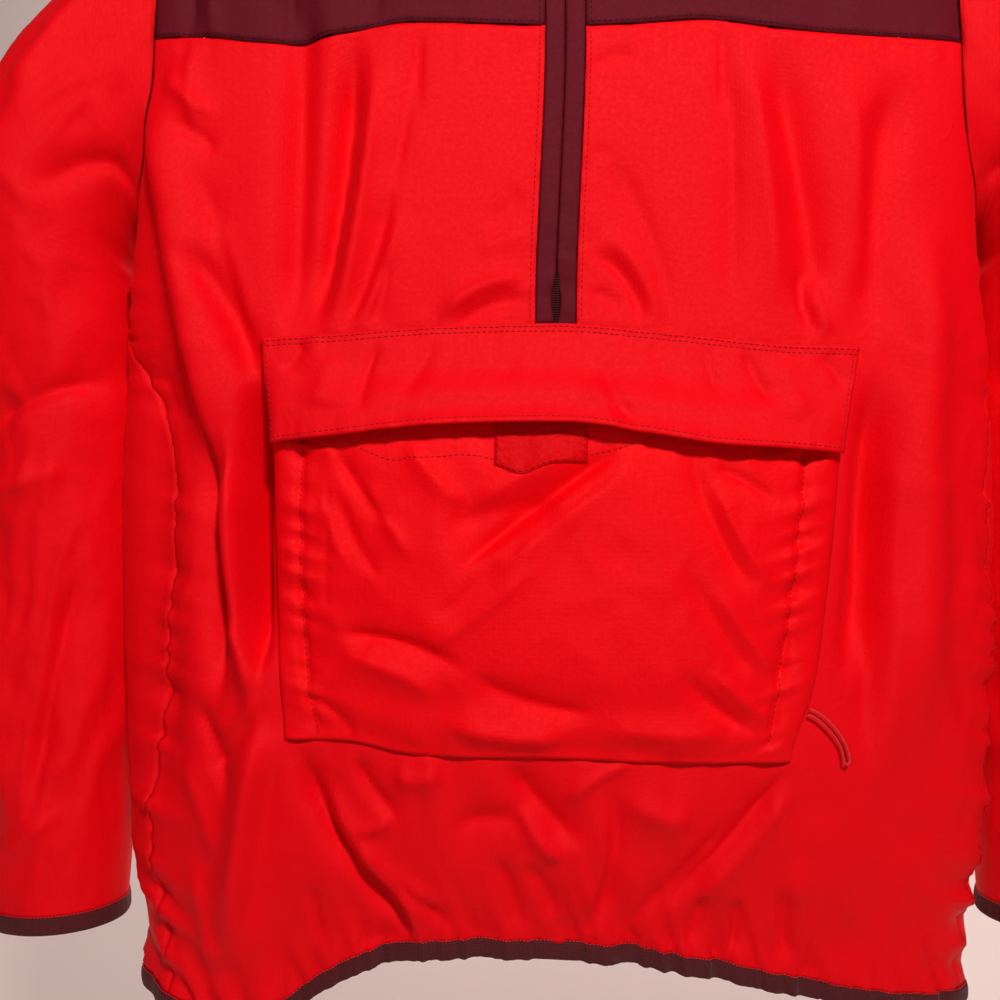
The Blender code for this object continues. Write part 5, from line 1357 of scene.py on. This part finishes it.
def repeat_group(name, build_shape, finish):
    """A node group that sets one small shape along a curve at an even pitch."""
    group = bpy.data.node_groups.new(name, "GeometryNodeTree")
    face = group.interface
    face.new_socket("Geometry", in_out="INPUT", socket_type="NodeSocketGeometry")
    pitch = face.new_socket("Pitch", in_out="INPUT", socket_type="NodeSocketFloat")
    face.new_socket("Geometry", in_out="OUTPUT", socket_type="NodeSocketGeometry")
    nodes, links = group.nodes, group.links
    source, target = nodes.new("NodeGroupInput"), nodes.new("NodeGroupOutput")
    path = nodes.new("GeometryNodeMeshToCurve")
    spots = nodes.new("GeometryNodeCurveToPoints")
    spots.mode = "LENGTH"
    copies = nodes.new("GeometryNodeInstanceOnPoints")
    real = nodes.new("GeometryNodeRealizeInstances")
    coat = nodes.new("GeometryNodeSetMaterial")
    coat.inputs["Material"].default_value = finish
    links.new(source.outputs["Geometry"], path.inputs["Mesh"])
    links.new(path.outputs["Curve"], spots.inputs["Curve"])
    links.new(source.outputs["Pitch"], spots.inputs["Length"])
    links.new(spots.outputs["Points"], copies.inputs["Points"])
    links.new(spots.outputs["Rotation"], copies.inputs["Rotation"])
    links.new(build_shape(nodes, links), copies.inputs["Instance"])
    links.new(copies.outputs["Instances"], real.inputs["Geometry"])
    links.new(real.outputs["Geometry"], coat.inputs["Geometry"])
    links.new(coat.outputs["Geometry"], target.inputs["Geometry"])
    return group, pitch.identifier


def bead(size):
    """A small ellipsoid of this size across, deep and along the path."""
    def shape(nodes, links):
        ball = nodes.new("GeometryNodeMeshUVSphere")
        ball.inputs["Segments"].default_value = 8
        ball.inputs["Rings"].default_value = 5
        ball.inputs["Radius"].default_value = 0.5
        sized = nodes.new("GeometryNodeTransform")
        sized.inputs["Scale"].default_value = size
        links.new(ball.outputs["Mesh"], sized.inputs["Geometry"])
        return sized.outputs["Geometry"]
    return shape


def along_paths(name, paths, pitch, size, finish):
    """One plain mesh of small beads along open polylines."""
    points, edges = [], []
    for path in paths:
        if len(path) < 3:
            continue
        start = len(points)
        points += [tuple(p) for p in path]
        edges += [(start + k, start + k + 1) for k in range(len(path) - 1)]
    rail = bpy.data.meshes.new(name + "_rail")
    rail.from_pydata(points, edges, [])
    made = link(bpy.data.objects.new(name + "_rail", rail))
    group, identifier = repeat_group(name + "_repeat", bead(size), finish)
    repeat = made.modifiers.new("Repeat", "NODES")
    repeat.node_group = group
    repeat[identifier] = pitch
    bpy.context.view_layer.update()
    graph = bpy.context.evaluated_depsgraph_get()
    mesh = bpy.data.meshes.new_from_object(made.evaluated_get(graph))
    bpy.data.objects.remove(made)
    mesh.name = name
    if not mesh.materials:
        mesh.materials.append(finish)
    mesh.shade_smooth()
    return link(bpy.data.objects.new(name, mesh))


def surface_of(piece):
    """The piece's sheet as a tree that rays can be cast at."""
    mesh = piece.data
    return BVHTree.FromPolygons([v.co for v in mesh.vertices],
                                [tuple(p.vertices) for p in mesh.polygons])


def seated(trees, u, v, lift=0.0001, reach=0.045):
    """A polyline at these girths and heights, laid on the first of these surfaces it meets."""
    points, normals = body_point(np.asarray(u, float), np.asarray(v, float))
    path = []
    for point, normal in zip(points - [0, 0, HOOK_HEIGHT], normals):
        start, aim = Vector(point + normal * reach), Vector(-normal)
        hits = [tree.ray_cast(start, aim, reach * 1.6) for tree in trees]
        hits = [hit for hit in hits if hit[0] is not None]
        if hits:
            first = min(hits, key=lambda hit: hit[3])
            path.append(np.array(first[0]) + normal * lift)
    return path


def across(start, end, step=0.0016):
    """Places from start to end about this step apart."""
    return np.linspace(start, end, max(int(abs(end - start) / step), 2))


def right_seam(height, back):
    """Girth of the right side seam at one height."""
    return float(column_girth(np.array(1.0), np.array(float(SIDE_COLUMN)), np.array(height), back))


def yoke_stitches(left, right, behind):
    side = right_seam(0.52, False)
    paths = []
    for tree, start, end in ((left, -side + 0.001, -SLIT_HALF),
                             (right, SLIT_HALF + 0.004, side - 0.001)):
        u = across(start, end)
        paths.append(seated([tree], u, line_at("yoke_seam", u) + YOKE_INSET))
    whole = float(half_girth(0.51))
    reach = whole - right_seam(0.52, True)
    behind_u = across(-reach, reach)
    u = np.where(behind_u < 0, -1, 1) * (whole - np.abs(behind_u))
    paths.append(seated([behind], u, line_at("yoke_seam", u) + YOKE_INSET))
    return paths


def zip_stitches(tree, low, high):
    paths = []
    v = across(low, high)
    for side in (-1, 1):
        lean = edge_at("zip_lean", v)
        paths.append(seated([tree[side]], lean + side * (SLIT_HALF + ZIP_INSET), v))
    return paths


def flap_stitches(tree):
    left = float(edge_at("left_edge", np.array(0.345)))
    right = float(edge_at("right_edge", np.array(0.345)))
    paths = []
    for below in FLAP_SEAM_INSETS:
        u = across(-left + 0.001, right - 0.001)
        paths.append(seated([tree], u, line_at("flap_seam", u) - below))
    left = float(edge_at("left_edge", np.array(0.30)))
    right = float(edge_at("right_edge", np.array(0.30)))
    u = across(-left + FLAP_INSET, right - FLAP_INSET)
    paths.append(seated([tree], u, line_at("flap_edge", u) + FLAP_INSET))
    for side, name in ((-1, "left_edge"), (1, "right_edge")):
        v = across(0.286, 0.336)
        edge = edge_at(name, v) - FLAP_INSET
        paths.append(seated([tree], side * edge, v))
    return paths


def pocket_stitches(tree):
    paths = []
    for side, name, low in ((-1, "left", 0.130), (1, "right", 0.126)):
        v = across(low, 0.302)
        u = side * smooth_table(SIDE_STITCH, name, v, "height") + 0.0006 * lumps(v / 0.006, 181)
        paths.append(seated([tree], u, v))
    u = across(-0.140, 0.133)
    wave = 0.0014 * np.sin(u / 0.0125) + 0.0008 * lumps(u / 0.009, 183)
    mouth = 0.2775 + 0.022 * smooth_step((np.abs(u + 0.036) - 0.046) / 0.07)
    paths.append(seated([tree], u, mouth + wave))
    return paths


def patch_stitches(tree):
    u = across(PATCH_LEFT + PATCH_INSET, PATCH_RIGHT - PATCH_INSET)
    share = (u - PATCH_LEFT) / (PATCH_RIGHT - PATCH_LEFT)
    low = PATCH_LOW + PATCH_INSET - patch_point(share)
    paths = [seated([tree], u, low, lift=0.0003)]
    v = across(PATCH_LOW, PATCH_HIGH - PATCH_INSET)
    for side_u in (PATCH_LEFT + PATCH_INSET, PATCH_RIGHT - PATCH_INSET):
        paths.append(seated([tree], np.full(v.shape, side_u), v, lift=0.0003))
    return paths


def upper_edge(band, rows):
    """A closed path just off the first ring of a binding that is made of this many rings."""
    around = len(band.data.vertices) // rows
    path = [np.array(v.co) + np.array(v.normal) * EDGE_STITCH_LIFT
            for v in band.data.vertices[:around]]
    return path + path[:1]


# ---------------------------------------------------------------- hard pieces
def softened(node, name, finish, width):
    """A copy of a CAD piece with its edges rounded over."""
    made = bpy.data.objects.new(name, bpy.data.objects[node].data.copy())
    made.data.materials.clear()
    made.data.materials.append(finish)
    link(made)
    rounded = made.modifiers.new("Rounded", "BEVEL")
    rounded.width, rounded.segments, rounded.limit_method = width, 3, "ANGLE"
    rounded.angle_limit = math.radians(45)
    rounded.harden_normals = True
    made.data.shade_smooth()
    return made


def open_curve(name, route, radius, finish, resolution=2):
    """A round cord or wire along a route, closed at both ends."""
    curve = bpy.data.curves.new(name, "CURVE")
    curve.dimensions, curve.bevel_depth, curve.bevel_resolution = "3D", radius, resolution
    curve.use_fill_caps = True
    spline = curve.splines.new("POLY")
    spline.points.add(len(route) - 1)
    for point, place in zip(spline.points, route):
        point.co = (*place, 1)
    spline.use_smooth = True
    curve.materials.append(finish)
    return link(bpy.data.objects.new(name, curve))


def curve_through(points, step):
    """A smooth curve through the points, with a point about every step."""
    p = np.array(points, float)
    p = np.concatenate([[2 * p[0] - p[1]], p, [2 * p[-1] - p[-2]]])
    out = []
    for k in range(1, len(p) - 2):
        a, b, c, d = p[k - 1:k + 3]
        count = max(1, round(np.linalg.norm(c - b) / step))
        for t in np.arange(count) / count:
            out.append(between(a, b, c, d, t))
    return np.array(out + [p[-2]])


HANGER_PEAK = 0.726
HOOK_WIRE = 0.0032
HOOK_RADIUS = 0.021


def make_hook():
    """The wire hook: up from the hanger's body, to the right and over the rail."""
    centre = -HOOK_RADIUS + HOOK_WIRE / 2
    foot = HANGER_PEAK + GAP - HOOK_HEIGHT
    route = [(0, 0, foot), (0, 0, foot + 0.010), (0, 0, foot + 0.022)]
    route += [(HOOK_RADIUS * math.cos(turn), 0, centre + HOOK_RADIUS * math.sin(turn))
              for turn in np.radians(np.arange(-45, 196, 30))]
    return open_curve("hook_wire", curve_through(route, 0.0015), HOOK_WIRE / 2, STEEL, 6)


# The cord loop that hangs out of the pocket's right edge: offsets from its exit, in metres, as
# (to the right, outwards, up), out along one strand and back along the other.
CORD_RADIUS = 0.0007
CORD_EXIT_LEVEL = 1.17
CORD_ROUTE = (
    (0.0006, 0.0030, 0.0000), (0.0045, 0.0034, -0.0016), (0.0092, 0.0036, -0.0050),
    (0.0138, 0.0036, -0.0096), (0.0178, 0.0035, -0.0145), (0.0208, 0.0034, -0.0196),
    (0.0226, 0.0033, -0.0246), (0.0232, 0.0033, -0.0284), (0.0218, 0.0033, -0.0306),
    (0.0199, 0.0033, -0.0293), (0.0194, 0.0033, -0.0256), (0.0180, 0.0034, -0.0209),
    (0.0153, 0.0035, -0.0162), (0.0114, 0.0036, -0.0116), (0.0070, 0.0036, -0.0073),
    (0.0028, 0.0034, -0.0042), (-0.0004, 0.0030, -0.0030),
)


def make_cord():
    column = np.array([float(EDGE_COLUMN) + SLIT_SPAN])
    girth, height = places(column, np.array([CORD_EXIT_LEVEL]))
    offset = curve_through(CORD_ROUTE, 0.0016)
    points, normals = body_point(girth[0] + offset[:, 0], height[0] + offset[:, 2])
    route = points + normals * offset[:, 1:2] - [0, 0, HOOK_HEIGHT]
    cord = open_curve("pull_cord_loop", route, CORD_RADIUS, CORD_RED, 2)
    length = float(np.linalg.norm(np.diff(route, axis=0), axis=-1).sum())
    return cord, tuple(float(c) for c in route[0]), length


# ---------------------------------------------------------------- camera, light and stage
FLOOR_DROP, FLOOR_HALF = 0.36, 14.0


def make_camera():
    """Square on to the chest, a little to the left of centre, close enough to fill the frame."""
    data = bpy.data.cameras.new("camera")
    data.sensor_width, data.lens = 36.0, 39.27
    data.clip_start = 0.02
    camera = link(bpy.data.objects.new("camera", data))
    camera.location = (-0.033, -0.662, -0.559)
    camera.rotation_euler = (math.radians(90), 0, 0)
    bpy.context.scene.camera = camera
    bpy.context.scene.view_settings.view_transform = "Standard"


def area_light(name, place, aim, size, power, colour):
    """A round soft light at a place, aimed at a point."""
    data = bpy.data.lights.new(name, "AREA")
    data.shape, data.size, data.energy, data.color = "DISK", size, power, colour
    made = link(bpy.data.objects.new(name, data))
    made.location = place
    made.rotation_euler = (Vector(aim) - Vector(place)).to_track_quat("-Z", "Y").to_euler()


def make_stage():
    """A pale floor that sweeps up into a pale wall behind."""
    profile = [(-9.0, 0.0)] + [(2.2 + 0.6 * math.sin(t), 0.6 - 0.6 * math.cos(t))
                               for t in np.linspace(0, math.pi / 2, 14)] + [(2.8, 7.0)]
    low = cad_low.z - FLOOR_DROP
    points = [(x, y, z + low) for y, z in profile for x in (-FLOOR_HALF, FLOOR_HALF)]
    faces = [(2 * k, 2 * k + 1, 2 * k + 3, 2 * k + 2) for k in range(len(profile) - 1)]
    mesh = bpy.data.meshes.new("studio_sweep")
    mesh.from_pydata(points, [], faces)
    paper = Finish("pale_paper", Roughness=0.9)
    paper.colour((0.78, 0.62, 0.585), (0.82, 0.66, 0.620),
                 paper.noise(paper.solid_place(), 1.5, 3.0))
    mesh.materials.append(paper.material)
    mesh.shade_smooth()
    link(bpy.data.objects.new("studio_sweep", mesh))


def make_light():
    world = bpy.data.worlds.new("studio")
    bpy.context.scene.world = world
    world.use_nodes = True
    nodes, links = world.node_tree.nodes, world.node_tree.links
    sky = nodes["Background"]
    sky.inputs["Color"].default_value = (1.0, 0.97, 0.95, 1)
    sky.inputs["Strength"].default_value = 0.06
    seen = nodes.new("ShaderNodeBackground")
    seen.inputs["Color"].default_value = (0.76, 0.66, 0.63, 1)
    seen.inputs["Strength"].default_value = 0.9
    ray, either = nodes.new("ShaderNodeLightPath"), nodes.new("ShaderNodeMixShader")
    links.new(ray.outputs["Is Camera Ray"], either.inputs["Fac"])
    links.new(sky.outputs["Background"], either.inputs[1])
    links.new(seen.outputs["Background"], either.inputs[2])
    links.new(either.outputs["Shader"], nodes["World Output"].inputs["Surface"])
    area_light("key", (0.25, -1.37, 0.50), (0.0, 0.0, -0.52), 0.20, 27.0, (1.0, 0.975, 0.95))
    area_light("fill", (-1.1, -1.9, 0.3), (0.0, 0.0, -0.50), 0.5, 3, (1.0, 0.98, 0.97))
    area_light("wall", (0.0, 0.9, 1.2), (0.0, 2.8, -0.4), 1.6, 38, (1.0, 0.98, 0.97))
    area_light("back", (1.7, 1.5, 0.5), (0.0, 0.0, -0.45), 0.5, 20, (1.0, 0.98, 0.96))


# ---------------------------------------------------------------- build
make_camera()
cord, cord_exit, cord_length = make_cord()
make_stage()
make_light()

front = make_front()
back = make_back()
yoke_left, yoke_right, back_yoke = make_yokes()
(sleeve_left, cuff_left), (sleeve_right, cuff_right) = make_sleeve(-1), make_sleeve(1)
hem = make_hem_band()
collar = make_collar()
welt_left, welt_right = make_welts()
tape, tape_middle = make_zip_tape()
pocket = make_pocket()
flap = make_flap()
patch = make_patch()

slider = softened("zip_slider", "slider_body", DARK_METAL, 0.0005)
pull = softened("zip_pull", "slider_pull_tab", DARK_METAL, 0.0004)
hook = make_hook()
board = bpy.data.objects["hanger_body"]
for slot in board.material_slots:
    slot.material = WOOD

tree = {name: surface_of(piece) for name, piece in (
    ("front", front), ("left", yoke_left), ("right", yoke_right), ("behind", back_yoke),
    ("pocket", pocket), ("flap", flap), ("patch", patch))}
maroon_paths = yoke_stitches(tree["left"], tree["right"], tree["behind"])
maroon_paths += zip_stitches({-1: tree["left"], 1: tree["right"]}, 0.524, 0.640)
maroon_stitches = along_paths("maroon_stitches", maroon_paths, STITCH_PITCH, STITCH, MAROON_THREAD)
red_paths = zip_stitches({-1: tree["front"], 1: tree["front"]}, 0.358, 0.514)
red_paths += flap_stitches(tree["flap"]) + pocket_stitches(tree["pocket"])
red_paths += patch_stitches(tree["patch"])
red_stitches = along_paths("red_stitches", red_paths, STITCH_PITCH, STITCH, RED_THREAD)
band_paths = [upper_edge(hem, HEM_ROWS), upper_edge(cuff_left, CUFF_ROWS),
              upper_edge(cuff_right, CUFF_ROWS)]
band_stitches = along_paths("band_stitches", band_paths, EDGE_STITCH_PITCH, EDGE_STITCH, HEM_THREAD)
teeth = along_paths("zip_teeth", [tape_middle - [0, 0, HOOK_HEIGHT]], TOOTH_PITCH, TOOTH, COIL)

# ---------------------------------------------------------------- which piece is which
for piece, node, slot_name in (
        (front, "front", "red_shell"), (back, "back", "red_shell"),
        (yoke_left, "front_yoke_left", "maroon_shell"),
        (yoke_right, "front_yoke_right", "maroon_shell"),
        (back_yoke, "back_yoke", "maroon_shell"),
        (sleeve_left, "sleeve_left", "red_shell"), (sleeve_right, "sleeve_right", "red_shell"),
        (cuff_left, "cuff_binding_left", "maroon_elastic"),
        (cuff_right, "cuff_binding_right", "maroon_elastic"),
        (hem, "hem_binding", "maroon_elastic"), (collar, "collar", "maroon_shell"),
        (welt_left, "welt_left", "maroon_shell"), (welt_right, "welt_right", "maroon_shell"),
        (tape, "zip_tape", "zip_coil"), (pocket, "pocket", "red_shell"),
        (flap, "pocket_flap", "red_shell"), (patch, "hook_loop_patch", "hook_loop"),
        (slider, "zip_slider", "dark_metal"), (hook, "hanger_hook", "steel"),
        (cord, "pull_cord", "red_cord")):
    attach(piece, "garment")
    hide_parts(node)
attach(pull, "zip_pull")
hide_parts("zip_pull")
for piece, slot_name in ((maroon_stitches, "maroon_shell"), (red_stitches, "red_shell"),
                         (band_stitches, "maroon_elastic"), (teeth, "zip_coil")):
    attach(piece, "garment")
